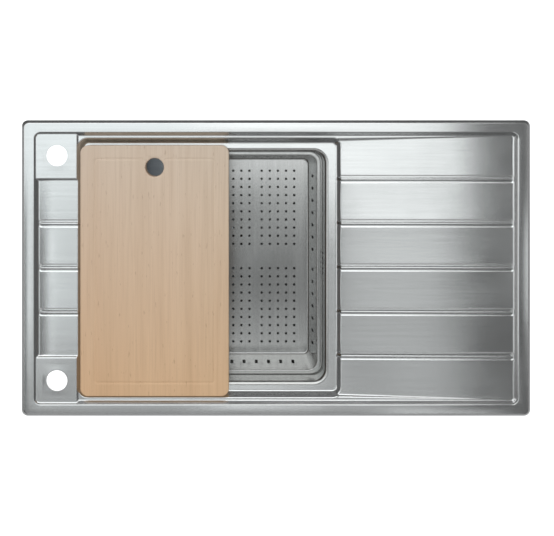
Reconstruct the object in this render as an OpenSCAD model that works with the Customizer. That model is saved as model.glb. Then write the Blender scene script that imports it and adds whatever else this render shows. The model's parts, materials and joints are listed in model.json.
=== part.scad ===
// Inset workstation kitchen sink: a pressed steel deck with a drainer, a stepped bowl, a wooden board
// that slides on the recess ledge, a perforated tray that slides on the bowl's inner step, and a
// basket waste with an overflow.
// The origin is the middle of the sink in plan, at the worktop surface. X runs to the right along
// the long side, Y to the back and Z up. All sizes are in millimetres.

/* [Rim and deck] */
// Overall length of the sink, left to right
sink_l = 860; // [840:1:960]
// Overall depth of the sink, front to back
sink_d = 500; // [490:1:530]
// Thickness of the pressed steel sheet
sheet = 1.2; // [0.8:0.1:1.5]
// Height of the flat rim above the worktop
rim_h = 5; // [4:0.5:7]
// Corner radius of the rim's outer edge
rim_r = 11; // [8:1:24]
// Width of the bevel round the rim's outer edge
bevel_w = 5; // [4:0.5:6]
// Width of the rim's flat top
rim_flat = 14; // [13:0.5:20]
// Width of the sloped step inside the rim
step_w = 6; // [4:0.5:8]
// Drop from the rim's flat top to the deck
step_drop = 6; // [5:0.5:8]
// Corner radius of the deck at the foot of the step
deck_r = 6; // [4:0.5:12]

/* [Tap strip] */
// Width of the strip between the rim and the recess that carries the tap platforms
tap_strip_l = 70; // [66:1:90]
// Height of the tap platforms above the deck
platform_rise = 3; // [2:0.5:4]
// Run of the slope at a platform's edge
platform_slope = 3; // [2:0.5:5]
// Diameter of each tap hole
tap_hole_d = 35; // [32:0.5:38]
// Distance of each tap hole's centre from the sink's two nearest edges
tap_inset = 60; // [56:1:64]
// Margin between a tap platform's edges and the plate that stiffens it from below
stiffener_margin = 7; // [6:0.5:10]
// Thickness of the stiffener plate
stiffener_t = 1.5; // [1:0.1:2.5]

/* [Ribs and drainer] */
// Number of panels that the ribs part the drainer into, front to back
panel_count = 6; // [4:2:8]
// Width of a rib's bead
rib_w = 7; // [5:0.5:9]
// Height of a rib's bead above its panel
rib_h = 1.6; // [1:0.1:2.2]
// Fall of the drainer from its right end down to the recess
drainer_fall = 4; // [2:0.5:6]
// How far the drainer's low end stands in from the recess wall, at the gutters
gutter_in = 1.6; // [1:0.1:3]

/* [Recess and ledge] */
// Width of the ledge's flat band at the left and right of the bowl
ledge_side = 13; // [12:0.5:20]
// Width of the ledge's flat band at the front and back of the bowl
ledge_end = 9.5; // [9:0.5:16]
// Flat band between the rim's step and the recess, at the front and the back
recess_band = 5; // [3:0.5:8]
// Depth of the ledge below the deck
recess_depth = 11; // [9:0.5:14]
// Run of the recess wall, from its foot on the ledge out to the deck
recess_run = 8; // [6:0.5:10]
// Corner radius of the ledge at the foot of the recess wall
ledge_r = 8; // [5:0.5:14]

/* [Bowl] */
// Clear length of the bowl between its upper walls
bowl_l = 392; // [340:1:400]
// Corner radius of the upper walls
bowl_r = 19.5; // [19:0.5:24]
// Radius of the lip that rolls from the ledge into the bowl
lip_r = 6.5; // [4:0.5:8]
// Depth of the tray step below the ledge
tray_step_depth = 37; // [34:1:60]
// Width of the step that carries the tray
tray_step_w = 6; // [5:0.5:8]
// Radius between the lower walls and the floor
floor_r = 12; // [8:0.5:12]
// Depth of the bowl's floor below the ledge
bowl_depth = 200; // [170:1:220]

/* [Cutting board] */
// Width of the board, left to right
board_l = 250; // [220:1:260]
// Gap between the board's back edge and the foot of the recess wall
board_gap = 4.5; // [3:0.5:8]
// Thickness of the board
board_t = 20; // [16:1:24]
// Corner radius of the board
board_r = 13; // [10:1:20]
// Chamfer round the board's underside, which clears the recess wall
board_chamfer = 6; // [5:0.5:8]
// Softening of the board's top edge
board_ease = 2; // [1:0.5:3]
// How far the board's edge stands out over the foot of the recess wall
board_overhang = 2.5; // [1:0.5:3]
// Diameter of the finger hole
finger_hole_d = 31; // [26:1:36]
// Distance of the finger hole's centre from the board's back edge
finger_hole_inset = 37; // [30:1:45]
// Distance of the juice groove from the board's sides
groove_side = 22; // [16:1:30]
// Distance of the juice groove from the board's front and back edges
groove_end = 20; // [14:1:24]
// Width of the juice groove
groove_w = 6; // [4:0.5:8]
// Depth of the juice groove
groove_depth = 2; // [1:0.5:4]

/* [Perforated tray] */
// Length of the tray over its rim, left to right
tray_l = 225; // [216:1:240]
// Clearance between the tray's rim and the bowl's wall
tray_gap = 0.5; // [0.4:0.1:1]
// Distance between the tray's rim and the bowl's right wall, as it stands
tray_stand_off = 2; // [1:0.5:6]
// Width of the tray's flat rim
tray_rim_w = 7; // [6.5:0.5:7.5]
// Height of the edge turned down round the tray's rim, which stands on the step
tray_hem = 3; // [2:0.5:5]
// Depth of the tray from its rim to its floor
tray_depth = 63; // [50:1:80]
// How far the tray's wall leans in from the rim to the floor
tray_lean = 8; // [4:0.5:8.5]
// Thickness of the tray's sheet
tray_sheet = 1; // [0.8:0.1:1.2]
// Radius between the tray's wall and its floor
tray_floor_r = 3; // [2:0.5:3.5]
// Diameter of the holes in the tray's floor
floor_hole_d = 4.2; // [3:0.1:6]
// Pitch of the holes in the tray's floor
floor_pitch = 15; // [14:0.5:15.5]
// Least distance of the floor's outer holes from the floor's edge
floor_margin = 17; // [12:0.5:24]
// Distance between the two blocks of columns, hole to hole
column_gap = 22.5; // [20:0.5:26]
// Distance between the two blocks of rows, hole to hole
row_gap = 45; // [38:1:50]
// Width of the upright slots in the tray's walls
wall_slot_w = 5; // [3:0.1:6]
// Height of the upright slots in the tray's walls
wall_slot_h = 11; // [7:0.5:14]
// Pitch of the slots in the tray's walls
wall_pitch = 22; // [18:0.5:23]
// Distance between the two rows of slots on a long wall, slot to slot
wall_gap = 36; // [30:1:40]
// Least distance of a wall's outer slots from its round corners
wall_margin = 16; // [12:0.5:20]
// Depth of the slots' middle below the tray's rim
wall_slot_drop = 32; // [24:1:36]

/* [Overflow] */
// Number of overflow slots
slot_count = 5; // [3:1:5]
// Width of an overflow slot
slot_w = 4; // [3:0.5:5]
// Height of an overflow slot
slot_h = 10; // [8:0.5:12]
// Pitch of the overflow slots
slot_pitch = 9; // [7:0.5:10]
// Depth of the slots' middle below the ledge
slot_drop = 28; // [27:0.5:29]
// Depth of the overflow housing, out from the bowl's wall
housing_t = 18; // [16:1:24]
// Wall thickness of the plastic waste parts
plastic_t = 2; // [1.6:0.1:3]
// Outer radius of the spigots that the overflow hose fits on
spigot_r = 10; // [8:0.5:11]
// Outer radius of the hose at its ribs
hose_r = 13; // [12:0.5:15]
// Bore radius of the hose
hose_bore_r = 9; // [7:0.5:10]
// Number of ribs along the hose
hose_ribs = 58; // [30:1:80]
// Radius of the hose's bend
hose_bend_r = 45; // [40:1:48]

/* [Basket waste] */
// Radius of the hole in the bowl's floor
waste_hole_r = 45.5; // [45:0.5:47]
// Radius of the pressed seat round the waste hole
waste_seat_r = 59; // [58:0.5:64]
// Depth of the pressed seat below the floor
waste_seat_depth = 2.5; // [2:0.5:4]
// Depth of the steel waste cup below its seat
cup_depth = 36; // [32:1:44]
// Outer radius of the outlet's thread
outlet_r = 23.9; // [20:0.1:27]
// Length of the outlet's threaded spigot
outlet_l = 34; // [25:1:45]

/* [Fixings] */
// Thickness of the worktop that the clips are set for
worktop_t = 30; // [24:1:38]
// Width of the soft seal under the rim
seal_w = 6; // [5:0.5:7]
// Number of fixing clips along each long side
long_clips = 4; // [3:1:5]
// Width of a clip, along its rail
clip_w = 20; // [16:1:26]
// Thickness of the rail's and the clip's steel strip
strip_t = 1.5; // [1:0.1:2]

/* [Hidden] */
$fn = 64;

// Colours
steel = [0.72, 0.73, 0.73];
bright_steel = [0.82, 0.83, 0.84];
beech = [0.83, 0.69, 0.53];
black_rubber = [0.08, 0.08, 0.08];
pad_grey = [0.22, 0.23, 0.24];
white_plastic = [0.9, 0.9, 0.88];
grey_plastic = [0.55, 0.56, 0.57];

// A gap that keeps neighbouring pieces of one assembly apart
fit_gap = 0.3;
// A length that carries a cutter past the face it opens
past = 2;
// Flat stub at each end of a bent sheet, which the next flat sheet meets
stub = 1;

// Heights
rim_z = rim_h;
deck_z = rim_z - step_drop;
platform_z = deck_z + platform_rise;
ledge_z = deck_z - recess_depth;
tray_step_z = ledge_z - tray_step_depth;
floor_z = ledge_z - bowl_depth;
seat_z = floor_z - waste_seat_depth;
cup_z = seat_z - cup_depth;
drainer_low_z = deck_z - drainer_fall;

// Plan sizes
edge_in = bevel_w + rim_flat + step_w;
deck_l = sink_l - 2 * edge_in;
deck_d = sink_d - 2 * edge_in;
recess_d = deck_d - 2 * recess_band;
ledge_d = recess_d - 2 * recess_run;
opening_l = bowl_l + 2 * lip_r;
opening_d = ledge_d - 2 * ledge_end;
ledge_l = opening_l + 2 * ledge_side;
recess_l = ledge_l + 2 * recess_run;
recess_x = -deck_l / 2 + tap_strip_l + recess_l / 2;
recess_r = ledge_r + recess_run;
bowl_d = opening_d - 2 * lip_r;
opening_r = bowl_r + lip_r;
lower_r = bowl_r - tray_step_w;
lower_l = bowl_l - 2 * tray_step_w;
lower_d = bowl_d - 2 * tray_step_w;
panel_pitch = deck_d / panel_count;
tap_x = -sink_l / 2 + tap_inset;
tap_y = sink_d / 2 - tap_inset;

// The recess wall climbs to the drainer's low end, which is level for 3 mm and then rises
low_run = recess_run * (drainer_low_z - ledge_z) / recess_depth;
low_r = ledge_r + low_run;
corner_x = ledge_l / 2 - ledge_r;
gutter_y = ledge_d / 2 + low_run - gutter_in;
drainer_x0 = recess_x + ledge_l / 2 + low_run + 3;
drainer_x1 = deck_l / 2;
drainer_l = drainer_x1 - drainer_x0;
drainer_angle = asin(drainer_fall / drainer_l);

// ---------------------------------------------------------------- outlines and bent sheets

// The reverse of a list
function reversed(p) = [for (i = [len(p) - 1:-1:0]) p[i]];

// Direction from one point to the next
function heading(p, i) = (p[i + 1] - p[i]) / norm(p[i + 1] - p[i]);

// The left-hand normal of a direction
function left_of(v) = [-v.y, v.x];

// A point of line p moved to its left by t, mitred where the line bends
function moved_left(p, i, t) =
    let (before = left_of(heading(p, max(i - 1, 0))))
    let (after = left_of(heading(p, min(i, len(p) - 2))))
    let (middle = (before + after) / norm(before + after))
    p[i] + middle * t / (middle * before);

// The outline of a sheet of thickness t whose upper face follows the line p
function bent_sheet(p, t) =
    concat(p, reversed([for (i = [0:len(p) - 1]) moved_left(p, i, t)]));

// Points along a quarter round from angle a0, in three steps, clockwise or not as turn says
function quarter(x, z, r, a0, turn) =
    [for (i = [0:3]) [x + r * cos(a0 + turn * 30 * i), z + r * sin(a0 + turn * 30 * i)]];

// A rectangle with round corners
module rounded_rect(l, d, r) {
    square([l - 2 * r, d], center = true);
    square([l, d - 2 * r], center = true);
    for (sx = [-1, 1], sy = [-1, 1])
        translate([sx * (l / 2 - r), sy * (d / 2 - r)]) circle(r);
}

// The band between two round-cornered rectangles
module rect_band(outer, inner) {
    difference() {
        rounded_rect(outer[0], outer[1], outer[2]);
        rounded_rect(inner[0], inner[1], inner[2]);
    }
}

// Carries its child round a round-cornered rectangle. The child's x is measured outwards from the
// rectangle's sides and its y is the height.
module around(l, d, r) {
    straight_x = l - 2 * r;
    straight_y = d - 2 * r;
    for (side = [0, 1]) rotate(180 * side) {
        translate([straight_x / 2, d / 2, 0]) rotate([90, 0, -90])
            linear_extrude(straight_x) mirror([1, 0]) children();
        translate([l / 2, -straight_y / 2, 0]) rotate([90, 0, 0]) mirror([0, 0, 1])
            linear_extrude(straight_y) children();
        translate([straight_x / 2, straight_y / 2, 0])
            rotate_extrude(angle = 90) translate([r, 0]) children();
        translate([-straight_x / 2, straight_y / 2, 0]) rotate(90)
            rotate_extrude(angle = 90) translate([r, 0]) children();
    }
}

// A flat sheet whose upper face is at height z
module flat_sheet(z, t) {
    translate([0, 0, z - t]) linear_extrude(t) children();
}

// A bead of the rib section along X between x0 and x1, standing on a face at height z
module bead(x0, x1, y, z) {
    r = (rib_w * rib_w / 4 + rib_h * rib_h) / (2 * rib_h);
    intersection() {
        translate([x0, y, z + rib_h - r]) {
            rotate([0, 90, 0]) cylinder(r = r, h = x1 - x0);
            sphere(r);
        }
        translate([x0 - r, y - rib_w / 2, z - sheet / 2])
            cube([x1 - x0 + r, rib_w, rib_h + sheet]);
    }
}

// ---------------------------------------------------------------- pressed steel

// A flat slab of sheet between points in order, lowered by t to make its underside
module slanted_sheet(points, t) {
    n = len(points);
    under = [for (p = points) p - [0, 0, t]];
    sides = [for (i = [0:n - 1]) [i, (i + 1) % n, n + (i + 1) % n, n + i]];
    polyhedron(
        points = concat(points, under),
        faces = concat([reversed([for (i = [0:n - 1]) i])], [[for (i = [0:n - 1]) n + i]], sides)
    );
}

// The space over a tap platform's upper face, whose sides slope down to height foot
module platform_form(top, foot) {
    rise = top - foot;
    run = platform_slope * rise / platform_rise;
    x0 = -deck_l / 2 - step_w * platform_rise / step_drop;
    x1 = -deck_l / 2 + tap_strip_l - fit_gap;
    y0 = panel_pitch * (panel_count / 2 - 1);
    y1 = deck_d / 2 + step_w * platform_rise / step_drop;
    intersection() {
        translate([0, y1, 0]) rotate([90, 0, 0]) linear_extrude(y1 - y0)
            polygon([[x0, foot], [x0, top], [x1 - run, top], [x1, foot]]);
        translate([x0, 0, 0]) rotate([90, 0, 90]) linear_extrude(x1 - x0)
            polygon([[y0, foot], [y0 + run, top], [y1, top], [y1, foot]]);
    }
}

// A tap platform at the back left corner, hollow below as pressed sheet is
module platform_shell() {
    difference() {
        platform_form(platform_z, deck_z - sheet);
        translate([0, 0, -sheet]) platform_form(platform_z, deck_z - 2 * sheet);
        translate([tap_x, tap_y, deck_z - past]) cylinder(d = tap_hole_d, h = platform_rise + 2 * past);
    }
}

// The plan of a tap platform, cut out of the deck's sheet short of the platform's sloped edge
module platform_plan() {
    y0 = panel_pitch * (panel_count / 2 - 1) + 1.5 * sheet * platform_slope / platform_rise;
    translate([-deck_l / 2 - past, y0]) square([tap_strip_l + past, deck_d / 2 - y0 + past]);
}

// Distance from the round corner's centre to its wall, along X at the gutter's edge, for radius r
function corner_reach(r) = sqrt(r * r - (low_r - gutter_in) * (low_r - gutter_in));

module deck() color(steel) {
    lap = sheet / 3;
    inner_edge = sheet * norm([bevel_w, rim_h]) / rim_h;
    under_top = inner_edge + bevel_w * (rim_h - sheet) / rim_h;
    // Bevel round the rim
    around(sink_l, sink_d, rim_r) polygon([
        [0, 0], [-bevel_w, rim_z], [-under_top, rim_z], [-under_top, rim_z - sheet], [-inner_edge, 0]
    ]);
    // Flat top of the rim
    flat_sheet(rim_z, sheet) rect_band(
        [sink_l - 2 * under_top, sink_d - 2 * under_top, rim_r - under_top],
        [deck_l + 2 * (step_w + stub), deck_d + 2 * (step_w + stub), deck_r + step_w + stub]
    );
    // Step down from the rim
    around(deck_l, deck_d, deck_r) polygon(bent_sheet([
        [step_w + stub, rim_z], [step_w, rim_z], [0, deck_z], [-stub, deck_z]
    ], sheet));
    // Deck left of the drainer
    flat_sheet(deck_z, sheet) difference() {
        intersection() {
            rounded_rect(deck_l - 2 * stub, deck_d - 2 * stub, deck_r - stub);
            translate([-deck_l / 2, -deck_d / 2]) square([drainer_x0 + deck_l / 2, deck_d]);
        }
        translate([recess_x + corner_x, -gutter_y]) square([deck_l, 2 * gutter_y]);
        translate([recess_x, 0])
            rounded_rect(recess_l + 2 * stub, recess_d + 2 * stub, recess_r + stub);
        for (side = [0, 1]) mirror([0, side]) platform_plan();
    }
    // Tap platforms
    for (side = [0, 1]) mirror([0, side, 0]) platform_shell();
    // Ribs of the tap strip
    for (i = [-(panel_count / 2 - 2):panel_count / 2 - 2])
        bead(-deck_l / 2 + rib_w / 2, -deck_l / 2 + tap_strip_l, i * panel_pitch, deck_z);
    // Recess wall, open to the drainer on the right, and the ledge at its foot
    translate([recess_x, 0, 0]) {
        difference() {
            around(ledge_l, ledge_d, ledge_r) polygon(bent_sheet([
                [recess_run + stub, deck_z], [recess_run, deck_z], [0, ledge_z], [-stub, ledge_z]
            ], sheet));
            translate([corner_x, -gutter_y, drainer_low_z])
                cube([ledge_r + recess_run + past, 2 * gutter_y, drainer_fall + past]);
        }
        // Level low end of the drainer, round the corners of the recess
        flat_sheet(drainer_low_z, sheet) difference() {
            translate([corner_x, -gutter_y - sheet / 2])
                square([drainer_x0 - recess_x - corner_x, 2 * gutter_y + sheet]);
            rounded_rect(ledge_l + 2 * (low_run + lap), ledge_d + 2 * (low_run + lap), low_r + lap);
        }
        flat_sheet(ledge_z, sheet) rect_band(
            [ledge_l - 2 * stub, ledge_d - 2 * stub, ledge_r - stub],
            [opening_l + 2 * stub, opening_d + 2 * stub, opening_r + stub]
        );
    }
    // Drainer floor and the gutter slopes beside it
    slanted_sheet([
        [drainer_x0, -gutter_y, drainer_low_z], [drainer_x1, -deck_d / 2, deck_z],
        [drainer_x1, deck_d / 2, deck_z], [drainer_x0, gutter_y, drainer_low_z]
    ], sheet);
    for (side = [0, 1]) mirror([0, side, 0]) slanted_sheet([
        [drainer_x0, gutter_y, drainer_low_z], [drainer_x1, deck_d / 2, deck_z],
        [drainer_x0, deck_d / 2, deck_z]
    ], sheet);
    // Low ends of the gutters, closed up to the deck
    for (side = [0, 1]) mirror([0, side, 0]) {
        translate([recess_x + corner_x, gutter_y + sheet, 0]) rotate([90, 0, 0]) linear_extrude(sheet)
            polygon([
                [corner_reach(low_r + lap), drainer_low_z - sheet],
                [drainer_x0 - recess_x - corner_x, drainer_low_z - sheet],
                [drainer_x0 - recess_x - corner_x, deck_z],
                [corner_reach(recess_r + lap), deck_z],
                [corner_reach(low_r + lap), drainer_low_z]
            ]);
        translate([drainer_x0 - sheet, gutter_y, drainer_low_z - sheet])
            cube([sheet, deck_d / 2 - gutter_y, drainer_fall + sheet]);
    }
    // Ribs of the drainer, which follow its fall
    translate([drainer_x1, 0, deck_z]) rotate([0, -drainer_angle, 0])
        for (i = [1:panel_count - 1])
            bead(-drainer_l, -past, (i - panel_count / 2) * panel_pitch, 0);
}

module bowl() color(steel) {
    translate([recess_x, 0, 0]) {
        difference() {
            // Lip and upper wall
            around(bowl_l, bowl_d, bowl_r) polygon(bent_sheet(concat(
                [[lip_r + stub, ledge_z]],
                quarter(lip_r, ledge_z - lip_r, lip_r, 90, 1),
                [[0, tray_step_z], [-stub, tray_step_z]]
            ), sheet));
            overflow_slots();
        }
        // Step that carries the tray
        flat_sheet(tray_step_z, sheet) rect_band(
            [bowl_l - 2 * stub, bowl_d - 2 * stub, bowl_r - stub],
            [lower_l + 2 * stub, lower_d + 2 * stub, lower_r + stub]
        );
        // Lower wall and the radius at its foot
        around(lower_l, lower_d, lower_r) polygon(bent_sheet(concat(
            [[stub, tray_step_z], [0, tray_step_z]],
            quarter(-floor_r, floor_z + floor_r, floor_r, 0, -1),
            [[-floor_r - stub, floor_z]]
        ), sheet));
        // Floor with its pressed waste seat
        flat_sheet(floor_z, sheet) difference() {
            rounded_rect(
                lower_l - 2 * (floor_r + stub), lower_d - 2 * (floor_r + stub), lower_r - floor_r - stub
            );
            circle(waste_seat_r + 2 * waste_seat_depth + stub);
        }
        rotate_extrude() polygon(bent_sheet([
            [waste_seat_r + 2 * waste_seat_depth + stub, floor_z],
            [waste_seat_r + 2 * waste_seat_depth, floor_z],
            [waste_seat_r, seat_z],
            [waste_hole_r, seat_z]
        ], sheet));
    }
}

// Cutters for the overflow slots in the bowl's right wall
module overflow_slots() {
    for (i = [0:slot_count - 1]) {
        y = (i - (slot_count - 1) / 2) * slot_pitch;
        translate([bowl_l / 2 - past, y, ledge_z - slot_drop]) rotate([0, 90, 0]) {
            for (end = [-1, 1]) translate([end * (slot_h - slot_w) / 2, 0, 0])
                cylinder(d = slot_w, h = sheet + 2 * past);
            translate([-(slot_h - slot_w) / 2, -slot_w / 2, 0])
                cube([slot_h - slot_w, slot_w, sheet + 2 * past]);
        }
    }
}

module tap_stiffeners() color(steel) {
    plate_l = tap_strip_l - 2 * stiffener_margin;
    plate_d = panel_pitch - 2 * stiffener_margin;
    for (side = [0, 1]) mirror([0, side, 0]) translate([0, 0, platform_z - sheet - stiffener_t])
        difference() {
            translate([-deck_l / 2 + stiffener_margin, deck_d / 2 - panel_pitch + stiffener_margin, 0])
                cube([plate_l, plate_d, stiffener_t]);
            translate([tap_x, tap_y, -past])
                cylinder(d = tap_hole_d + 4, h = stiffener_t + 2 * past);
        }
}

// ---------------------------------------------------------------- fixing to the worktop

// Distances from the sink's edge
seal_in = bevel_w + 1;
rail_in = seal_in + seal_w + 1;
rail_drop = 14;
rail_flange = bevel_w + rim_flat - sheet - rail_in;
clip_drop = 10;
clip_arm_z = -worktop_t - clip_drop;
screw_offset = 2;
screw_in = seal_in + screw_offset;
screw_r = 2.5;
screw_head_t = 3;
screw_slot_w = 1.2;
rail_end = 70;
short_rail_end = 80;
short_clip_in = 60;
long_rail = sink_l - 2 * rail_end;
short_rail = sink_d - 2 * short_rail_end;
short_clip_y = short_rail / 2 - short_clip_in;

module rim_seal() color(black_rubber) {
    linear_extrude(rim_z - sheet) rect_band(
        [sink_l - 2 * seal_in, sink_d - 2 * seal_in, rim_r - bevel_w],
        [sink_l - 2 * (seal_in + seal_w), sink_d - 2 * (seal_in + seal_w), rim_r - bevel_w - stub]
    );
}

// Section of the rail: y is the distance outwards from the sink's edge, z the height
module rail_section() {
    top = rim_z - sheet;
    polygon([
        [-rail_in, top], [-rail_in, top - rail_drop], [-rail_in - rail_flange, top - rail_drop],
        [-rail_in - rail_flange, top - rail_drop + 3], [-rail_in - rail_flange + strip_t, top - rail_drop + 3],
        [-rail_in - rail_flange + strip_t, top - rail_drop + strip_t],
        [-rail_in - strip_t, top - rail_drop + strip_t], [-rail_in - strip_t, top - strip_t],
        [-rail_in - rail_flange, top - strip_t], [-rail_in - rail_flange, top]
    ]);
}

// Section of a clip, which hooks inside the rail and reaches out under the worktop
module clip_section() {
    hook = rim_z - sheet - rail_drop + strip_t + 2;
    x0 = -rail_in - rail_flange - fit_gap;
    polygon([
        [x0 + 2.5, hook + 4], [x0 + 2.5, hook + 4 + strip_t], [x0 - strip_t, hook + 4 + strip_t],
        [x0 - strip_t, clip_arm_z - strip_t], [-fit_gap, clip_arm_z - strip_t],
        [-fit_gap, clip_arm_z + 5], [-fit_gap - strip_t, clip_arm_z + 5],
        [-fit_gap - strip_t, clip_arm_z], [x0, clip_arm_z], [x0, hook + 4]
    ]);
}

// Places its children, drawn at the middle of the back edge, at each clip of the sink
module at_clips() {
    for (side = [0, 1]) mirror([0, side, 0]) for (i = [0:long_clips - 1])
        translate([(i - (long_clips - 1) / 2) * long_rail / long_clips, sink_d / 2, 0]) children();
    for (side = [0, 1], y = [-short_clip_y, short_clip_y]) mirror([side, 0, 0])
        translate([sink_l / 2, y, 0]) rotate(-90) children();
}

// Sweeps a section drawn outwards from the edge into a strip of length l along the back edge
module along_edge(l) {
    translate([-l / 2, 0, 0]) rotate([90, 0, 90]) linear_extrude(l) children();
}

module clip_rails() color(bright_steel) {
    for (side = [0, 1]) mirror([0, side, 0])
        translate([0, sink_d / 2, 0]) along_edge(long_rail) rail_section();
    for (side = [0, 1]) mirror([side, 0, 0])
        translate([sink_l / 2, 0, 0]) rotate(-90) along_edge(short_rail) rail_section();
}

module fixing_clips() color(bright_steel) {
    at_clips() difference() {
        along_edge(clip_w) clip_section();
        translate([0, -screw_in, clip_arm_z - strip_t - past])
            cylinder(r = screw_r + fit_gap / 2, h = strip_t + 2 * past);
    }
}

module clip_screws() color(bright_steel) {
    at_clips() translate([0, -screw_in, clip_arm_z - strip_t - screw_head_t]) {
        difference() {
            cylinder(r = 2 * screw_r, h = screw_head_t);
            translate([-2 * screw_r, -screw_slot_w / 2, -screw_slot_w])
                cube([4 * screw_r, screw_slot_w, 2 * screw_slot_w]);
        }
        cylinder(r = screw_r, h = -worktop_t - clip_arm_z + strip_t + screw_head_t);
    }
}

// ---------------------------------------------------------------- pads that deaden the sheet

pad_t = 2.5;
pad_r = 12;
pad_margin = 15;
drainer_pad_end = 45;
drainer_pad_side = 80;

module bowl_base_pad() color(pad_grey) {
    inset = 2 * (floor_r + pad_margin);
    translate([recess_x, 0, 0]) flat_sheet(floor_z - sheet, pad_t) difference() {
        rounded_rect(lower_l - inset, lower_d - inset, pad_r);
        circle(waste_seat_r + 2 * waste_seat_depth + stub + 4);
    }
}

module bowl_side_pads() color(pad_grey) {
    pad_l = lower_l * 0.63;
    pad_h = (tray_step_z - floor_z) * 0.6;
    z = (tray_step_z + floor_z) / 2;
    translate([recess_x, 0, z]) {
        for (side = [0, 1]) mirror([0, side, 0])
            translate([0, lower_d / 2 + sheet + pad_t, 0]) rotate([90, 0, 0])
                linear_extrude(pad_t) rounded_rect(pad_l, pad_h, pad_r);
        translate([-lower_l / 2 - sheet - pad_t, 0, 0]) rotate([90, 0, 90])
            linear_extrude(pad_t) rounded_rect(pad_l, pad_h, pad_r);
    }
}

module drainer_pad() color(pad_grey) {
    translate([drainer_x1, 0, deck_z]) rotate([0, -drainer_angle, 0])
        translate([-drainer_l / 2, 0, -sheet - pad_t])
            linear_extrude(pad_t)
                rounded_rect(drainer_l - 2 * drainer_pad_end, deck_d - 2 * drainer_pad_side, pad_r);
}

// ---------------------------------------------------------------- basket waste

lip_out_r = waste_seat_r - 2;
cup_t = 1;
hole_gap = 0.5;
cup_r = waste_hole_r - hole_gap - cup_t;
seal_t = 0.8;
flange_seal_in = 4;
body_seal_t = 2;
body_z = seat_z - sheet - body_seal_t;
body_r = cup_r + cup_t + 1.5;
body_bottom_z = cup_z - 10;
outlet_z = body_bottom_z - 8 - outlet_l;
centre_screw_r = 3;
centre_screw_l = 14;
spigot_drop = 22;
spigot_z = seat_z - spigot_drop;
spigot_l = 22;
spigot_x = recess_x + body_r + plastic_t;
drain_hole_r = 6;

module waste_flange() color(bright_steel) {
    translate([recess_x, 0, 0]) difference() {
        rotate_extrude() polygon(bent_sheet([
            [lip_out_r, seat_z + 1.3], [cup_r + 3, seat_z + 2.6], [cup_r, seat_z + 1.4],
            [cup_r, cup_z], [centre_screw_r + 1, cup_z]
        ], cup_t));
        for (i = [0:7]) rotate(45 * i) translate([cup_r * 0.6, 0, cup_z - cup_t - past])
            cylinder(r = drain_hole_r, h = cup_t + 2 * past);
    }
}

module waste_flange_seal() color(black_rubber) {
    translate([recess_x, 0, seat_z]) difference() {
        cylinder(r = lip_out_r - flange_seal_in, h = seal_t);
        translate([0, 0, -past]) cylinder(r = waste_hole_r + hole_gap, h = seal_t + 2 * past);
    }
}

module waste_body_seal() color(black_rubber) {
    translate([recess_x, 0, body_z]) difference() {
        cylinder(r = waste_seat_r, h = body_seal_t);
        translate([0, 0, -past]) cylinder(r = waste_hole_r + 1, h = body_seal_t + 2 * past);
    }
}

module waste_body() color(white_plastic) {
    translate([recess_x, 0, 0]) {
        difference() {
            union() {
                rotate_extrude() polygon([
                    [body_r, body_z], [waste_seat_r, body_z], [waste_seat_r, body_z - 4],
                    [body_r + plastic_t, body_z - 4], [body_r + plastic_t, body_bottom_z],
                    [outlet_r, body_bottom_z - 8], [outlet_r, outlet_z],
                    [outlet_r - 2 * plastic_t, outlet_z], [outlet_r - 2 * plastic_t, body_bottom_z - 6],
                    [body_r, body_bottom_z + 2]
                ]);
                // Side spigot for the overflow hose
                translate([body_r, 0, spigot_z]) rotate([0, 90, 0])
                    cylinder(r = spigot_r, h = plastic_t + spigot_l);
            }
            translate([body_r - past, 0, spigot_z]) rotate([0, 90, 0])
                cylinder(r = spigot_r - plastic_t, h = plastic_t + spigot_l + 2 * past);
        }
        // Bridge that the centre screw pulls on
        difference() {
            union() {
                translate([-body_r - plastic_t / 2, -4, cup_z - 9]) cube([2 * body_r + plastic_t, 8, 4]);
                translate([0, 0, cup_z - 9]) cylinder(r = 9, h = 9 - cup_t - fit_gap);
            }
            translate([0, 0, cup_z - 9 - past]) cylinder(r = centre_screw_r + 0.2, h = 9 + 2 * past);
        }
    }
}

module waste_screw() color(bright_steel) {
    head_r = 8;
    translate([recess_x, 0, cup_z]) {
        difference() {
            cylinder(r1 = head_r, r2 = head_r - 1.5, h = 2.5);
            translate([-head_r, -0.8, 1.3]) cube([2 * head_r, 1.6, 2]);
        }
        translate([0, 0, -centre_screw_l]) cylinder(r = centre_screw_r, h = centre_screw_l);
    }
}

// ---------------------------------------------------------------- overflow

wall_x = recess_x + bowl_l / 2 + sheet;
overflow_z = ledge_z - slot_drop;
chamber_w = (slot_count - 1) * slot_pitch + slot_w + 8;
chamber_h = slot_h + 2;
ear_w = 11;
housing_w = chamber_w + 2 * ear_w;
housing_h = chamber_h + 2 * plastic_t + 2;
overflow_seal_t = 1.5;
housing_x = wall_x + overflow_seal_t;
stud_y = chamber_w / 2 + ear_w / 2 + plastic_t / 2;
stud_r = 2;
ear_t = 5;
nut_t = 4;
drop_x = housing_x + housing_t / 2 + 1;
nut_r = spigot_r + 4;
nut_l = 18;
upper_nut_z = min(overflow_z - housing_h / 2, tray_step_z - sheet) - fit_gap;
hose_top_z = upper_nut_z - nut_l;
hose_end_x = spigot_x + fit_gap + nut_l + spigot_l / 4;

module overflow_seal() color(black_rubber) {
    translate([wall_x, 0, overflow_z]) rotate([90, 0, 90]) linear_extrude(overflow_seal_t)
        difference() {
            square([housing_w, housing_h], center = true);
            square([chamber_w, chamber_h], center = true);
            for (end = [-1, 1]) translate([end * stud_y, 0]) circle(stud_r + fit_gap / 2);
        }
}

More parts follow.
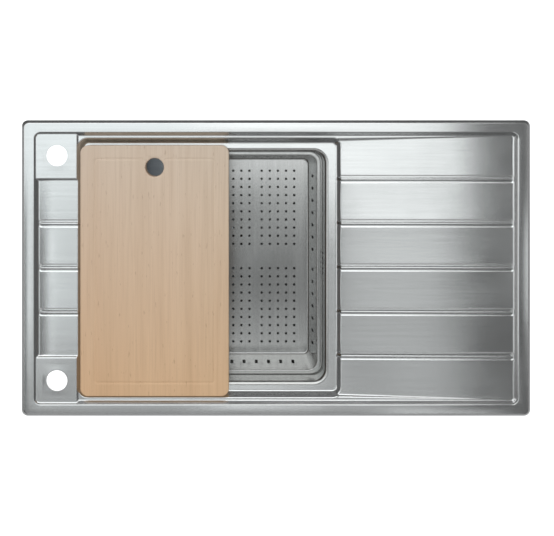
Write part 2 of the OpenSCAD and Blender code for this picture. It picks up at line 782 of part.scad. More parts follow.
module overflow_housing() color(white_plastic) {
    difference() {
        union() {
            translate([housing_x, -chamber_w / 2 - plastic_t, overflow_z - housing_h / 2])
                cube([housing_t, chamber_w + 2 * plastic_t, housing_h]);
            translate([housing_x, -housing_w / 2, overflow_z - housing_h / 2])
                cube([ear_t, housing_w, housing_h]);
            translate([drop_x, 0, hose_top_z + spigot_l / 4])
                cylinder(r = spigot_r, h = overflow_z - hose_top_z - spigot_l / 4);
        }
        translate([housing_x - past, -chamber_w / 2, overflow_z - chamber_h / 2])
            cube([housing_t - plastic_t + past, chamber_w, chamber_h]);
        translate([drop_x, 0, hose_top_z])
            cylinder(r = spigot_r - plastic_t, h = overflow_z - hose_top_z);
        for (end = [-1, 1]) translate([housing_x - past, end * stud_y, overflow_z])
            rotate([0, 90, 0]) cylinder(r = stud_r + fit_gap / 2, h = ear_t + 2 * past);
    }
}

module overflow_studs() color(bright_steel) {
    for (end = [-1, 1]) translate([wall_x, end * stud_y, overflow_z])
        rotate([0, 90, 0]) cylinder(r = stud_r, h = overflow_seal_t + ear_t + nut_t + 3);
}

module overflow_nuts() color(bright_steel) {
    for (end = [-1, 1]) translate([housing_x + ear_t, end * stud_y, overflow_z])
        rotate([0, 90, 0]) difference() {
            cylinder(r = 4.2, h = nut_t, $fn = 6);
            translate([0, 0, -past]) cylinder(r = stud_r + 0.1, h = nut_t + 2 * past, $fn = 32);
        }
}

// A hose nut along Z, opening downwards over the hose's end
module hose_nut() {
    grip_count = 12;
    difference() {
        union() {
            cylinder(r = nut_r, h = nut_l);
            for (i = [0:grip_count - 1]) rotate(i * 360 / grip_count)
                translate([nut_r - 0.5, -1, 1]) cube([1.5, 2, nut_l - 5]);
        }
        translate([0, 0, -past]) cylinder(r = spigot_r + fit_gap / 2, h = nut_l + 2 * past);
    }
}

module upper_hose_nut() color(grey_plastic) {
    translate([drop_x, 0, hose_top_z]) hose_nut();
}

module lower_hose_nut() color(grey_plastic) {
    translate([hose_end_x, 0, spigot_z]) rotate([0, -90, 0]) hose_nut();
}

// Route of the hose: straight down from the housing, a quarter bend, and level to the waste body
hose_drop = hose_top_z - spigot_z - hose_bend_r;
hose_level = drop_x - hose_bend_r - hose_end_x;
hose_arc = hose_bend_r * PI / 2;
hose_len = hose_drop + hose_arc + hose_level;

// Angle turned through at distance s along the hose
function hose_turn(s) = min(max((s - hose_drop) / hose_arc, 0), 1) * 90;

// Centre of the hose at distance s from its top
function hose_point(s) =
    let (a = hose_turn(s))
    let (down = min(s, hose_drop))
    let (level = max(s - hose_drop - hose_arc, 0))
    [drop_x - hose_bend_r * (1 - cos(a)) - level, 0, hose_top_z - down - hose_bend_r * sin(a)];

// A ring of eight points round the hose at distance s
function hose_ring(s, r) =
    let (a = hose_turn(s))
    let (across = [cos(a), 0, -sin(a)])
    [for (i = [0:7]) hose_point(s) + r * cos(45 * i) * across + r * sin(45 * i) * [0, 1, 0]];

// Triangles between two rings of eight that start at points a and b
function ring_faces(a, b) =
    [for (i = [0:7]) let (j = (i + 1) % 8) each [[a + i, b + j, b + i], [a + i, a + j, b + j]]];

module overflow_hose() color(grey_plastic) {
    root_r = hose_r - 2;
    bore_rings = 20;
    outer = [for (k = [0:2 * hose_ribs])
        each hose_ring(hose_len * k / (2 * hose_ribs), k % 2 == 0 ? root_r : hose_r)];
    bore = [for (k = [0:bore_rings]) each hose_ring(hose_len * k / bore_rings, hose_bore_r)];
    first_bore = len(outer);
    last_outer = first_bore - 8;
    last_bore = first_bore + 8 * bore_rings;
    polyhedron(
        points = concat(outer, bore),
        faces = concat(
            [for (k = [0:2 * hose_ribs - 1]) each ring_faces(8 * k, 8 * k + 8)],
            [for (k = [0:bore_rings - 1])
                each ring_faces(first_bore + 8 * k + 8, first_bore + 8 * k)],
            ring_faces(first_bore, 0),
            ring_faces(last_outer, last_bore)
        )
    );
}

// ---------------------------------------------------------------- sliding board

board_x = recess_x - ledge_l / 2 - board_overhang + board_l / 2;
board_d = ledge_d + board_overhang - board_gap;
board_y = -ledge_d / 2 - board_overhang + board_d / 2;
board_top_z = ledge_z + board_t;

module cutting_board() color(beech) {
    translate([board_x, board_y, 0]) difference() {
        translate([0, 0, ledge_z]) linear_extrude(board_t) rounded_rect(board_l, board_d, board_r);
        // Chamfer under the edge and the softening above it
        around(board_l, board_d, board_r) polygon([
            [past, ledge_z - past], [-board_chamfer - past, ledge_z - past], [past, ledge_z + board_chamfer + past]
        ]);
        around(board_l, board_d, board_r) polygon([
            [past, board_top_z + past], [-board_ease - past, board_top_z + past], [past, board_top_z - board_ease - past]
        ]);
        // Finger hole
        translate([0, board_d / 2 - finger_hole_inset, ledge_z - past])
            cylinder(d = finger_hole_d, h = board_t + 2 * past);
        // Juice groove
        translate([0, 0, board_top_z - groove_depth]) linear_extrude(groove_depth + past) rect_band(
            [board_l - 2 * groove_side, board_d - 2 * groove_end, groove_w],
            [board_l - 2 * groove_side - 2 * groove_w, board_d - 2 * groove_end - 2 * groove_w, groove_w / 3]
        );
    }
}

// ---------------------------------------------------------------- sliding perforated tray

tray_d = bowl_d - 2 * tray_gap;
tray_r = bowl_r + tray_gap;
tray_x = recess_x + bowl_l / 2 - tray_stand_off - tray_l / 2;
tray_z = tray_step_z + tray_hem;
tray_floor_z = tray_z - tray_depth;
tray_wall_in = tray_rim_w + tray_lean;

// The number of holes that fit from a first place up to a last one
function fitting(first, last, pitch) = floor((last - first) / pitch) + 1;

floor_in = tray_wall_in + tray_floor_r + floor_margin;
block_columns = fitting(column_gap / 2, tray_l / 2 - floor_in, floor_pitch);
block_rows = fitting(row_gap / 2, tray_d / 2 - floor_in, floor_pitch);
long_wall_slots = fitting(wall_gap / 2, tray_d / 2 - tray_r - wall_margin, wall_pitch);
end_wall_slots = 2 * fitting(0, tray_l / 2 - tray_r - wall_margin, wall_pitch) - 1;

// Centres of the holes across one direction: two blocks of n at a pitch, parted by a gap
function two_blocks(n, pitch, gap) =
    [for (side = [-1, 1], i = [0:n - 1]) side * (gap / 2 + i * pitch)];

// Centres of one row of n holes at a pitch
function one_row(n, pitch) = [for (i = [0:n - 1]) (i - (n - 1) / 2) * pitch];

// An upright slot with round ends
module wall_slot() {
    straight = wall_slot_h - wall_slot_w;
    square([wall_slot_w, straight], center = true);
    for (end = [-1, 1]) translate([0, end * straight / 2]) circle(d = wall_slot_w, $fn = 24);
}

module perforated_tray() color(bright_steel) {
    translate([tray_x, 0, 0]) {
        // Rim, hem and leaning wall
        difference() {
            around(tray_l, tray_d, tray_r) polygon(bent_sheet(concat(
                [[0, tray_step_z], [0, tray_z], [-tray_rim_w, tray_z]],
                quarter(-tray_wall_in - tray_floor_r, tray_floor_z + tray_floor_r, tray_floor_r, 0, -1),
                [[-tray_wall_in - tray_floor_r - stub, tray_floor_z]]
            ), tray_sheet));
            for (y = two_blocks(long_wall_slots, wall_pitch, wall_gap))
                translate([-tray_l / 2, y, tray_z - wall_slot_drop]) rotate([90, 0, 90])
                    linear_extrude(tray_l) wall_slot();
            for (x = one_row(end_wall_slots, wall_pitch))
                translate([x, tray_d / 2, tray_z - wall_slot_drop]) rotate([90, 0, 0])
                    linear_extrude(tray_d) wall_slot();
        }
        // Floor
        flat_sheet(tray_floor_z, tray_sheet) difference() {
            rounded_rect(
                tray_l - 2 * (tray_wall_in + tray_floor_r + stub),
                tray_d - 2 * (tray_wall_in + tray_floor_r + stub),
                tray_r - tray_wall_in - tray_floor_r - stub
            );
            for (x = two_blocks(block_columns, floor_pitch, column_gap))
                for (y = two_blocks(block_rows, floor_pitch, row_gap))
                    translate([x, y]) circle(d = floor_hole_d, $fn = 24);
        }
    }
}

// ---------------------------------------------------------------- strainer basket

stopper_z = cup_z + fit_gap;
stopper_t = 5;
basket_z = stopper_z + stopper_t;
basket_r = cup_r - 3;
basket_h = 26;
basket_t = 0.8;

module strainer_basket() color(bright_steel) {
    translate([recess_x, 0, 0]) difference() {
        rotate_extrude() polygon(bent_sheet([
            [cup_r - 0.6, basket_z + basket_h - 1.5], [basket_r + 0.5, basket_z + basket_h],
            [basket_r - 2, basket_z + basket_h - 2], [basket_r - 5, basket_z + basket_t],
            [3.2, basket_z + basket_t]
        ], basket_t));
        for (i = [0:23], row = [0, 1]) rotate(15 * (i + row / 2))
            translate([basket_r - 9, 0, basket_z + 8 + 8 * row]) rotate([0, 90, 0])
                cylinder(r = 1.5, h = 12, $fn = 24);
        for (i = [0:11]) rotate(30 * i) translate([basket_r * 0.6, 0, basket_z - past])
            cylinder(r = 1.5, h = 2 * past, $fn = 24);
    }
}

module basket_stopper() color(black_rubber) {
    translate([recess_x, 0, stopper_z]) difference() {
        cylinder(r = cup_r - 4, h = stopper_t);
        translate([0, 0, -past]) cylinder(r = 10, h = stopper_t + 2 * past);
    }
}

module basket_knob() color(bright_steel) {
    translate([recess_x, 0, 0]) {
        translate([0, 0, basket_z - 1]) cylinder(r = 3, h = basket_h - 4);
        translate([0, 0, basket_z - 2]) cylinder(r = 6, h = 2);
        translate([0, 0, basket_z + basket_h - 6]) cylinder(r1 = 7, r2 = 9, h = 3);
        translate([0, 0, basket_z + basket_h - 3]) cylinder(r1 = 9, r2 = 7, h = 2);
    }
}

deck();
bowl();
tap_stiffeners();
rim_seal();
clip_rails();
fixing_clips();
clip_screws();
bowl_base_pad();
bowl_side_pads();
drainer_pad();
waste_flange();
waste_flange_seal();
waste_body_seal();
waste_body();
waste_screw();
overflow_seal();
overflow_housing();
overflow_studs();
overflow_nuts();
overflow_hose();
upper_hose_nut();
lower_hose_nut();
cutting_board();
perforated_tray();
strainer_basket();
basket_stopper();
basket_knob();
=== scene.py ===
"""Inset workstation kitchen sink, dressed for the render.

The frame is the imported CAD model. Sizes below are millimetres in the object's frame: X to the right
along the long side, Y to the back, Z up, and the origin in the middle of the sink at the worktop.
"""
import json
import math

import bpy
import numpy as np
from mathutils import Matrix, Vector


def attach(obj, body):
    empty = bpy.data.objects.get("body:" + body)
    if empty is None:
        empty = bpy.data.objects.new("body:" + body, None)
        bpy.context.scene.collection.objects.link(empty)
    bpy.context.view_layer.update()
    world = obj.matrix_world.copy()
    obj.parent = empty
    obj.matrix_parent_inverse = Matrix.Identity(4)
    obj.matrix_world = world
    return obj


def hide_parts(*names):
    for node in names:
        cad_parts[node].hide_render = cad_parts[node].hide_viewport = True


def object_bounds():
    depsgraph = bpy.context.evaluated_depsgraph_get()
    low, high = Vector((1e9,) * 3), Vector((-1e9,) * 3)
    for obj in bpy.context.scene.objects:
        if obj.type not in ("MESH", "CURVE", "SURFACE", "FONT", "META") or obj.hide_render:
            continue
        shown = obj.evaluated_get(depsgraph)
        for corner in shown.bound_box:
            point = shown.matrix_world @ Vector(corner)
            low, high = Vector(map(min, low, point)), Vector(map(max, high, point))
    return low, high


MM = 0.001

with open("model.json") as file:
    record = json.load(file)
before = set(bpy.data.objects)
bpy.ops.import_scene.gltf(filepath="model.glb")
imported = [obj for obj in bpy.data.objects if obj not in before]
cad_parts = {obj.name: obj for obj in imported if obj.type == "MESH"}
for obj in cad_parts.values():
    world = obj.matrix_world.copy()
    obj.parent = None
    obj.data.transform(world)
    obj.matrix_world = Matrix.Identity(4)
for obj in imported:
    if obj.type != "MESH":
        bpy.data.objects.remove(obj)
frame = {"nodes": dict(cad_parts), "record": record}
cad_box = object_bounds()

# ---------------------------------------------------------------- camera

EYE = (-83.0, 240.0, 1188.0)
LEVEL_SEEN = 2.5
VIEW_WIDTH = 935.0
VIEW_MIDDLE = (1.6, 0.4)


def look_straight_down():
    """A camera over EYE that looks straight down.

    lens = sensor * (height of the eye over LEVEL_SEEN) / VIEW_WIDTH, and
    shift = (VIEW_MIDDLE - EYE) / VIEW_WIDTH, so VIEW_MIDDLE is in the middle of the frame.
    """
    data = bpy.data.cameras.new("camera")
    camera = bpy.data.objects.new("camera", data)
    bpy.context.scene.collection.objects.link(camera)
    camera.location = [c * MM for c in EYE]
    data.sensor_width = 36.0
    data.lens = 36.0 * (EYE[2] - LEVEL_SEEN) / VIEW_WIDTH
    data.shift_x = (VIEW_MIDDLE[0] - EYE[0]) / VIEW_WIDTH
    data.shift_y = (VIEW_MIDDLE[1] - EYE[1]) / VIEW_WIDTH
    data.clip_start = 0.05
    data.clip_end = 50.0
    bpy.context.scene.camera = camera


look_straight_down()

# ---------------------------------------------------------------- sizes, as in the CAD source
# The deck's step, DECK_X by DECK_Y with corners of DECK_R, lies 2.5 mm inside the CAD's.

SHEET = 1.2
RIM_Z, DECK_Z, LEDGE_Z, LOW_Z, PLATFORM_Z = 5.0, -1.0, -12.0, -5.0, 2.0
DECK_X, DECK_Y, DECK_R = 402.5, 224.0, 3.5
RECESS_X = -111.5
LEDGE_HALF, LEDGE_R, RECESS_RUN = (215.5, 212.0), 8.0, 8.0
OPENING_R, OPENING_CORE = 26.0, 176.5
BOWL_R, LIP_R, FLOOR_R = 19.5, 6.5, 12.0
STEP_Z, FLOOR_Z, SEAT_Z = -49.0, -212.0, -214.5
SEAT_R, WASTE_HOLE_R = 59.0, 45.5
TAP_X, TAP_Y, TAP_R = -370.0, 190.0, 17.5
PANEL = 75.0
DRAINER_X0, DRAINER_X1, GUTTER_Y = 112.1, 402.5, 215.5
TRAY_X, TRAY_CORE, TRAY_FLOOR_CORE = -30.0, (92.5, 175.5), (86.5, 169.5)
TRAY_Z, TRAY_FLOOR_Z = -46.0, -109.0
BOARD_X, BOARD_Y, BOARD_CORE, BOARD_R = -204.5, -3.5, (112.0, 198.0), 13.0
BOARD_TOP, BOARD_BOTTOM = 8.0, -12.0

# ---------------------------------------------------------------- mesh helpers


def quads(rows, cols, close=False):
    """Corner indices of the quads of a rows x cols grid of points.

    Quad (i, j) = (i, j), (i, j+1), (i+1, j+1), (i+1, j); with close the last column meets the first.
    """
    i = np.arange(rows - 1)[:, None]
    j = np.arange(cols if close else cols - 1)[None, :]
    k = (j + 1) % cols
    return np.stack([i * cols + j, i * cols + k, (i + 1) * cols + k, (i + 1) * cols + j], -1).reshape(-1, 4)


def welded(shells):
    """Joins shells of quads into one mesh: equal points become one, quads with a doubled corner triangles."""
    points = np.vstack([s[0] for s in shells])
    start = np.cumsum([0] + [len(s[0]) for s in shells])
    faces = np.vstack([s[1] + n for s, n in zip(shells, start)])
    _, first, place = np.unique(np.round(points, 3), axis=0, return_index=True, return_inverse=True)
    faces = place.reshape(-1)[faces]
    double = faces == np.roll(faces, -1, axis=1)
    count = double.sum(1)
    triangles = faces[count == 1][~double[count == 1]].reshape(-1, 3)
    four = faces[count == 0]
    used = np.unique(np.concatenate([four.ravel(), triangles.ravel()]))
    number = np.full(len(first), -1)
    number[used] = np.arange(len(used))
    return points[first[used]], number[four], number[triangles]


def mesh_of(name, shells, sharp=35.0):
    """A smooth-shaded mesh in metres from shells in millimetres.

    Its edges are sharp where it bends by more than sharp degrees, and where only one face meets them.
    """
    points, four, three = welded(shells)
    counts = np.concatenate([np.full(len(four), 4), np.full(len(three), 3)])
    flat = np.concatenate([four.ravel(), three.ravel()]).astype(np.int32)
    mesh = bpy.data.meshes.new(name)
    mesh.vertices.add(len(points))
    mesh.vertices.foreach_set("co", (points * MM).ravel())
    mesh.loops.add(len(flat))
    mesh.loops.foreach_set("vertex_index", flat)
    mesh.polygons.add(len(counts))
    mesh.polygons.foreach_set("loop_start", np.concatenate([[0], np.cumsum(counts)[:-1]]).astype(np.int32))
    mesh.update(calc_edges=True)
    mesh.validate()
    mesh.polygons.foreach_set("use_smooth", np.ones(len(mesh.polygons), bool))
    mesh.set_sharp_from_angle(angle=math.radians(sharp))
    edges = np.zeros(len(flat), np.int32)
    mesh.loops.foreach_get("edge_index", edges)
    crease = np.zeros(len(mesh.edges), bool)
    mesh.edges.foreach_get("use_edge_sharp", crease)
    crease |= np.bincount(edges, minlength=len(mesh.edges)) == 1
    mesh.edges.foreach_set("use_edge_sharp", crease)
    return mesh


def piece(name, shells, body, finish, replaces=(), thick=0.0, sharp=35.0):
    """One object at the origin. thick gives a sheet its wall, on the side away from its normals."""
    obj = bpy.data.objects.new(name, mesh_of(name, shells, sharp))
    bpy.context.scene.collection.objects.link(obj)
    obj.data.materials.append(finish)
    if thick:
        wall = obj.modifiers.new("wall", "SOLIDIFY")
        wall.thickness = thick * MM
        wall.offset = -1.0
        wall.use_even_offset = True
    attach(obj, body)
    if replaces:
        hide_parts(*replaces)
    return obj


def flipped(shell):
    """The same shell with its faces turned round."""
    return shell[0], shell[1][:, ::-1]


def lines(*runs):
    """Grid lines: each run is (start, stop, spacing), joined end to end."""
    out = [np.linspace(a, b, max(int(round(abs(b - a) / s)), 1) + 1) for a, b, s in runs]
    return np.unique(np.round(np.concatenate(out), 4))


def spread(half):
    """The lines of a half and their mirror images."""
    return np.unique(np.concatenate([-half, half]))


def nearest(values, target):
    """Index of the grid line nearest to a place."""
    return int(np.argmin(np.abs(values - target)))


def outline(centre, r, core=(0.0, 0.0), e1=(1, 0, 0), e2=(0, 1, 0)):
    """Carries a loop of points onto a round-cornered rectangle round centre in the plane of e1 and e2.

    A point goes to the core's point nearest to it, and from there by r in its own direction. With a core
    of no size the outline is a circle, and with a core of one size a slot.
    """
    centre, e1, e2 = (np.asarray(v, float) for v in (centre, e1, e2))

    def place(ring):
        s, t = (ring - centre) @ e1, (ring - centre) @ e2
        qs, qt = np.clip(s, -core[0], core[0]), np.clip(t, -core[1], core[1])
        d = np.hypot(s - qs, t - qt)
        s, t = qs + r * (s - qs) / d, qt + r * (t - qt) / d
        return centre + s[:, None] * e1 + t[:, None] * e2

    return place


def block_loop(points, i0, i1, j0, j1):
    """The points round a block of grid cells, along the rows at j0 first."""
    a, b = np.arange(i0, i1), np.arange(j0, j1)
    ii = np.concatenate([a, np.full(len(b), i1), a[::-1] + 1, np.full(len(b), i0)])
    jj = np.concatenate([np.full(len(a), j0), b, np.full(len(a), j1), b[::-1] + 1])
    return points[ii, jj % points.shape[1]]


def sheet_with_holes(points, holes=(), flip=False, close=False):
    """Shells of a rows x cols grid of points with holes.

    Each hole is (i0, i1, j0, j1, shapes): the block of cells goes, and loops lead from its edge to the
    hole through shapes, which are functions of the block's loop.
    """
    rows, cols = points.shape[:2]
    keep = np.ones((rows - 1, cols if close else cols - 1), bool)
    patches = []
    for i0, i1, j0, j1, shapes in holes:
        keep[i0:i1, j0:j1] = False
        ring = block_loop(points, i0, i1, j0, j1)
        ring = ring if flip else ring[::-1]
        rings = [ring] + [shape(ring) for shape in shapes]
        patches.append((np.vstack(rings), quads(len(rings), len(ring), close=True)))
    faces = quads(rows, cols, close)[keep.ravel()]
    return [(points.reshape(-1, 3), faces[:, ::-1] if flip else faces)] + patches


def corner_bend(x, y, core):
    """Bends the square corner zones beyond core into quarter discs.

    With a, b how far the point is beyond the core, it goes to distance max(a, b) in the direction (a, b).
    """
    a, b = np.maximum(np.abs(x) - core[0], 0), np.maximum(np.abs(y) - core[1], 0)
    far = np.hypot(a, b)
    k = np.where(far > 0, np.maximum(a, b) / np.where(far > 0, far, 1), 1)
    bent_x = np.sign(x) * (np.minimum(np.abs(x), core[0]) + a * k)
    bent_y = np.sign(y) * (np.minimum(np.abs(y), core[1]) + b * k)
    return bent_x, bent_y


def edge_loop(points, core, r):
    """The outer loop of a grid as shares of its core and outward directions, for rings beyond it."""
    loop = block_loop(points, 0, points.shape[0] - 1, 0, points.shape[1] - 1)[:, :2]
    q = np.clip(loop, [-core[0], -core[1]], core)
    n = (loop - q) / r
    return q / core, n / np.linalg.norm(n, axis=1, keepdims=True)


def rings_round(base, sizes, centre=(0.0, 0.0)):
    """Grid of rings: ring k of sizes (half_x, half_y, r, z) = centre + share (half - r) + r direction."""
    share, n = base
    rings = [
        np.column_stack([np.asarray(centre) + share * (hx - r, hy - r) + r * n, np.full(len(n), z)])
        for hx, hy, r, z in sizes
    ]
    return np.stack(rings)


def loop_base(side_x, side_y, per_corner):
    """Shares and directions round a rectangle whose long sides have points at side_x and short at side_y."""
    t = np.linspace(0, np.pi / 2, per_corner)
    share, n = [], []
    sides = (
        [((1, v), (1, 0)) for v in side_y], [((-v, 1), (0, 1)) for v in side_x],
        [((-1, -v), (-1, 0)) for v in side_y], [((v, -1), (0, -1)) for v in side_x],
    )
    for k, side in enumerate(sides):
        share += [s for s, _ in side]
        n += [d for _, d in side]
        corner = ((1, 1), (-1, 1), (-1, -1), (1, -1))[k]
        share += [corner] * per_corner
        n += list(np.stack([np.cos(t + k * np.pi / 2), np.sin(t + k * np.pi / 2)], -1))
    return np.array(share, float), np.array(n, float)


def fillet(points, radii, steps=5):
    """Rounds the corners of a polyline: corner i becomes an arc of radius radii[i].

    The arc touches both legs at distance radius * tan(turn / 2) from the corner.
    """
    points = [np.asarray(p, float) for p in points]
    out = [points[0]]
    for i in range(1, len(points) - 1):
        a, b, c = points[i - 1], points[i], points[i + 1]
        u, v = (a - b) / np.linalg.norm(a - b), (c - b) / np.linalg.norm(c - b)
        half = math.acos(max(-1.0, min(1.0, float(-u @ v)))) / 2
        if radii[i] <= 0 or half < 1e-3:
            out.append(b)
            continue
        reach = radii[i] * math.tan(half)
        p, q = b + u * reach, b + v * reach
        bis = (u + v) / np.linalg.norm(u + v)
        centre = b + bis * radii[i] / math.cos(half)
        a0 = math.atan2(*(p - centre)[::-1])
        turn = (math.atan2(*(q - centre)[::-1]) - a0 + math.pi) % (2 * math.pi) - math.pi
        angles = a0 + turn * np.linspace(0, 1, steps + 1)
        out.extend(centre + radii[i] * np.stack([np.cos(angles), np.sin(angles)], -1))
    out.append(points[-1])
    return np.array(out)


def lathe(profile, centre, around=64):
    """Grid of a profile of (radius, z) turned about a vertical axis through centre."""
    t = np.arange(around) * 2 * np.pi / around
    p = np.asarray(profile, float)
    x = centre[0] + p[:, :1] * np.cos(t)[None, :]
    y = centre[1] + p[:, :1] * np.sin(t)[None, :]
    return np.stack([x, y, np.repeat(p[:, 1:], around, 1)], -1)


def soft_rise(t, w):
    """max(t, 0) with its corner rounded over |t| < w: (t + w)^2 / 4w there."""
    return np.where(t <= -w, 0.0, np.where(t >= w, t, (t + w) ** 2 / (4 * w)))


def soft_ramp(d, d0, d1, z0, z1, w):
    """From z0 at d0 to z1 at d1 in a straight line, level beyond, with both corners rounded over w."""
    return z0 + (z1 - z0) / (d1 - d0) * (soft_rise(d - d0, w) - soft_rise(d - d1, w))


def soft_min(a, b, k):
    """The lower of a and b, blended where they are within k of each other."""
    h = np.clip(0.5 + 0.5 * (b - a) / k, 0, 1)
    return b + (a - b) * h - k * h * (1 - h)


def rect_distance(x, y, half_x, half_y, r):
    """Signed distance to a rectangle with round corners, positive outside."""
    qx, qy = np.abs(x) - (half_x - r), np.abs(y) - (half_y - r)
    return np.hypot(np.maximum(qx, 0), np.maximum(qy, 0)) + np.minimum(np.maximum(qx, qy), 0) - r


# ---------------------------------------------------------------- materials
# Noise scales are per metre, and widths and depths are metres.

ALONG_SCRATCH, FINE_SCRATCH, BROAD_SCRATCH = 5, 1400, 210
DRAWN_GLOSS, ACROSS_TILT = 0.4, 0.35
GRAIN_DEPTH, STAVE_WIDTH = 0.0002, 0.042


def material(name):
    """A new node material with its Principled shader."""
    mat = bpy.data.materials.new(name)
    mat.use_nodes = True
    return mat, mat.node_tree, mat.node_tree.nodes["Principled BSDF"]


def add(tree, kind, **values):
    """A node of a kind, with its attributes set."""
    node = tree.nodes.new(kind)
    for key, value in values.items():
        setattr(node, key, value)
    return node


def mapped_noise(tree, scale, detail, roughness):
    """Noise of the object's own coordinates, drawn out by a scale on each axis. Returns its factor."""
    where = add(tree, "ShaderNodeTexCoord")
    mapping = add(tree, "ShaderNodeMapping")
    mapping.inputs["Scale"].default_value = scale
    noise = add(tree, "ShaderNodeTexNoise")
    noise.inputs["Scale"].default_value = 1.0
    noise.inputs["Detail"].default_value = detail
    noise.inputs["Roughness"].default_value = roughness
    tree.links.new(where.outputs["Object"], mapping.inputs["Vector"])
    tree.links.new(mapping.outputs["Vector"], noise.inputs["Vector"])
    return noise.outputs["Fac"]


def to_range(tree, value, low, high, start=0.3, stop=0.7):
    """Maps a factor from start..stop to low..high."""
    node = add(tree, "ShaderNodeMapRange")
    for key, v in (("From Min", start), ("From Max", stop), ("To Min", low), ("To Max", high)):
        node.inputs[key].default_value = v
    tree.links.new(value, node.inputs["Value"])
    return node.outputs["Result"]


def mixed(tree, factor, a, b):
    """Colour a where the factor is 0 and b where it is 1."""
    node = add(tree, "ShaderNodeMix", data_type="RGBA")
    for key, colour in ((6, a), (7, b)):
        if isinstance(colour, bpy.types.NodeSocket):
            tree.links.new(colour, node.inputs[key])
        else:
            node.inputs[key].default_value = (*colour, 1)
    tree.links.new(factor, node.inputs[0])
    return node.outputs[2]


def bumped(tree, shader, height, strength, distance):
    """Sends a height to the shader's normal through a bump."""
    bump = add(tree, "ShaderNodeBump")
    bump.inputs["Strength"].default_value = strength
    bump.inputs["Distance"].default_value = distance
    tree.links.new(height, bump.inputs["Height"])
    tree.links.new(bump.outputs["Normal"], shader.inputs["Normal"])


def brushed_steel(name, dark, light, rough, along, strength):
    """Stainless sheet: fine scratches drawn out along one axis, in colour and bump, broader bands along the
    same axis in colour, and blotches in roughness.

    The gloss spreads across the scratches: its tangent is (0, 1, ACROSS_TILT) for scratches along x.
    """
    mat, tree, shader = material(name)
    shader.inputs["Metallic"].default_value = 1.0
    shader.inputs["Anisotropic"].default_value = DRAWN_GLOSS
    across = add(tree, "ShaderNodeCombineXYZ")
    for key, v in zip("XYZ", (0.0, 1.0, ACROSS_TILT) if along == "x" else (1.0, 0.0, ACROSS_TILT)):
        across.inputs[key].default_value = v
    tree.links.new(across.outputs[0], shader.inputs["Tangent"])
    fine, broad = (
        (ALONG_SCRATCH, scale, scale) if along == "x" else (scale, ALONG_SCRATCH, scale)
        for scale in (FINE_SCRATCH, BROAD_SCRATCH)
    )
    scratch = mapped_noise(tree, fine, 3.0, 0.7)
    bands = mapped_noise(tree, broad, 3.0, 0.6)
    blotch = mapped_noise(tree, (9, 9, 9), 3.0, 0.55)
    both = add(tree, "ShaderNodeMath", operation="ADD")
    tree.links.new(to_range(tree, scratch, 0.0, 0.35), both.inputs[0])
    tree.links.new(to_range(tree, bands, 0.0, 0.45), both.inputs[1])
    tree.links.new(mixed(tree, both.outputs[0], dark, light), shader.inputs["Base Color"])
    tree.links.new(to_range(tree, blotch, rough - 0.02, rough + 0.03), shader.inputs["Roughness"])
    bumped(tree, shader, scratch, strength, GRAIN_DEPTH)
    return mat


def plain_finish(name, dark, light, rough, metal, scale, strength, depth=GRAIN_DEPTH):
    """Moulded, plated or rubber finish: a slight mottle of colour and roughness over a fine grain."""
    mat, tree, shader = material(name)
    shader.inputs["Metallic"].default_value = metal
    mottle = mapped_noise(tree, (scale,) * 3, 4.0, 0.6)
    grain = mapped_noise(tree, (scale * 25,) * 3, 2.0, 0.6)
    tree.links.new(mixed(tree, to_range(tree, mottle, 0, 1), dark, light), shader.inputs["Base Color"])
    tree.links.new(to_range(tree, mottle, rough - 0.05, rough + 0.06), shader.inputs["Roughness"])
    bumped(tree, shader, grain, strength, depth)
    return mat


def board_wood():
    """Edge-glued wood: staves along Y, each with its own tone, fine grain lines and a few flecks, under a
    painted light gradient: warmer and darker at the front, cooler and brighter at the back.
    """
    mat, tree, shader = material("oiled_maple")
    where = add(tree, "ShaderNodeTexCoord")
    split = add(tree, "ShaderNodeSeparateXYZ")
    tree.links.new(where.outputs["Object"], split.inputs["Vector"])
    stave = add(tree, "ShaderNodeMath", operation="MULTIPLY")
    stave.inputs[1].default_value = 1 / STAVE_WIDTH
    tree.links.new(split.outputs["X"], stave.inputs[0])
    number = add(tree, "ShaderNodeMath", operation="FLOOR")
    tree.links.new(stave.outputs[0], number.inputs[0])
    tone = add(tree, "ShaderNodeTexWhiteNoise", noise_dimensions="1D")
    tree.links.new(number.outputs[0], tone.inputs["W"])
    grain = mapped_noise(tree, (420, 9, 420), 5.0, 0.62)
    wide = mapped_noise(tree, (55, 2.5, 55), 3.0, 0.5)
    fleck = mapped_noise(tree, (260, 60, 260), 2.0, 0.5)
    base = mixed(tree, to_range(tree, wide, 0, 1), (0.80, 0.575, 0.37), (0.90, 0.67, 0.45))
    toned = mixed(tree, to_range(tree, tone.outputs["Value"], 0, 0.55, 0, 1), base, (0.85, 0.595, 0.39))
    lined = mixed(tree, to_range(tree, grain, 0.0, 0.35, 0.45, 0.75), toned, (0.64, 0.43, 0.26))
    flecked = mixed(tree, to_range(tree, fleck, 0.0, 0.5, 0.66, 0.74), lined, (0.58, 0.37, 0.215))
    # Painted light: the colour is multiplied warmer and darker at the front and cooler and brighter at the
    # back, standing in for how the light falls over the board.
    along = to_range(tree, split.outputs["Y"], 0, 1, -0.21, 0.20)
    shade = add(tree, "ShaderNodeMix", data_type="RGBA", blend_type="MULTIPLY")
    shade.inputs[0].default_value = 1.0
    tree.links.new(flecked, shade.inputs[6])
    tree.links.new(mixed(tree, along, (1.0, 0.90, 0.80), (0.92, 1.02, 1.22)), shade.inputs[7])
    tree.links.new(shade.outputs[2], shader.inputs["Base Color"])
    tree.links.new(to_range(tree, grain, 0.48, 0.60), shader.inputs["Roughness"])
    bumped(tree, shader, grain, 0.12, 0.0003)
    return mat


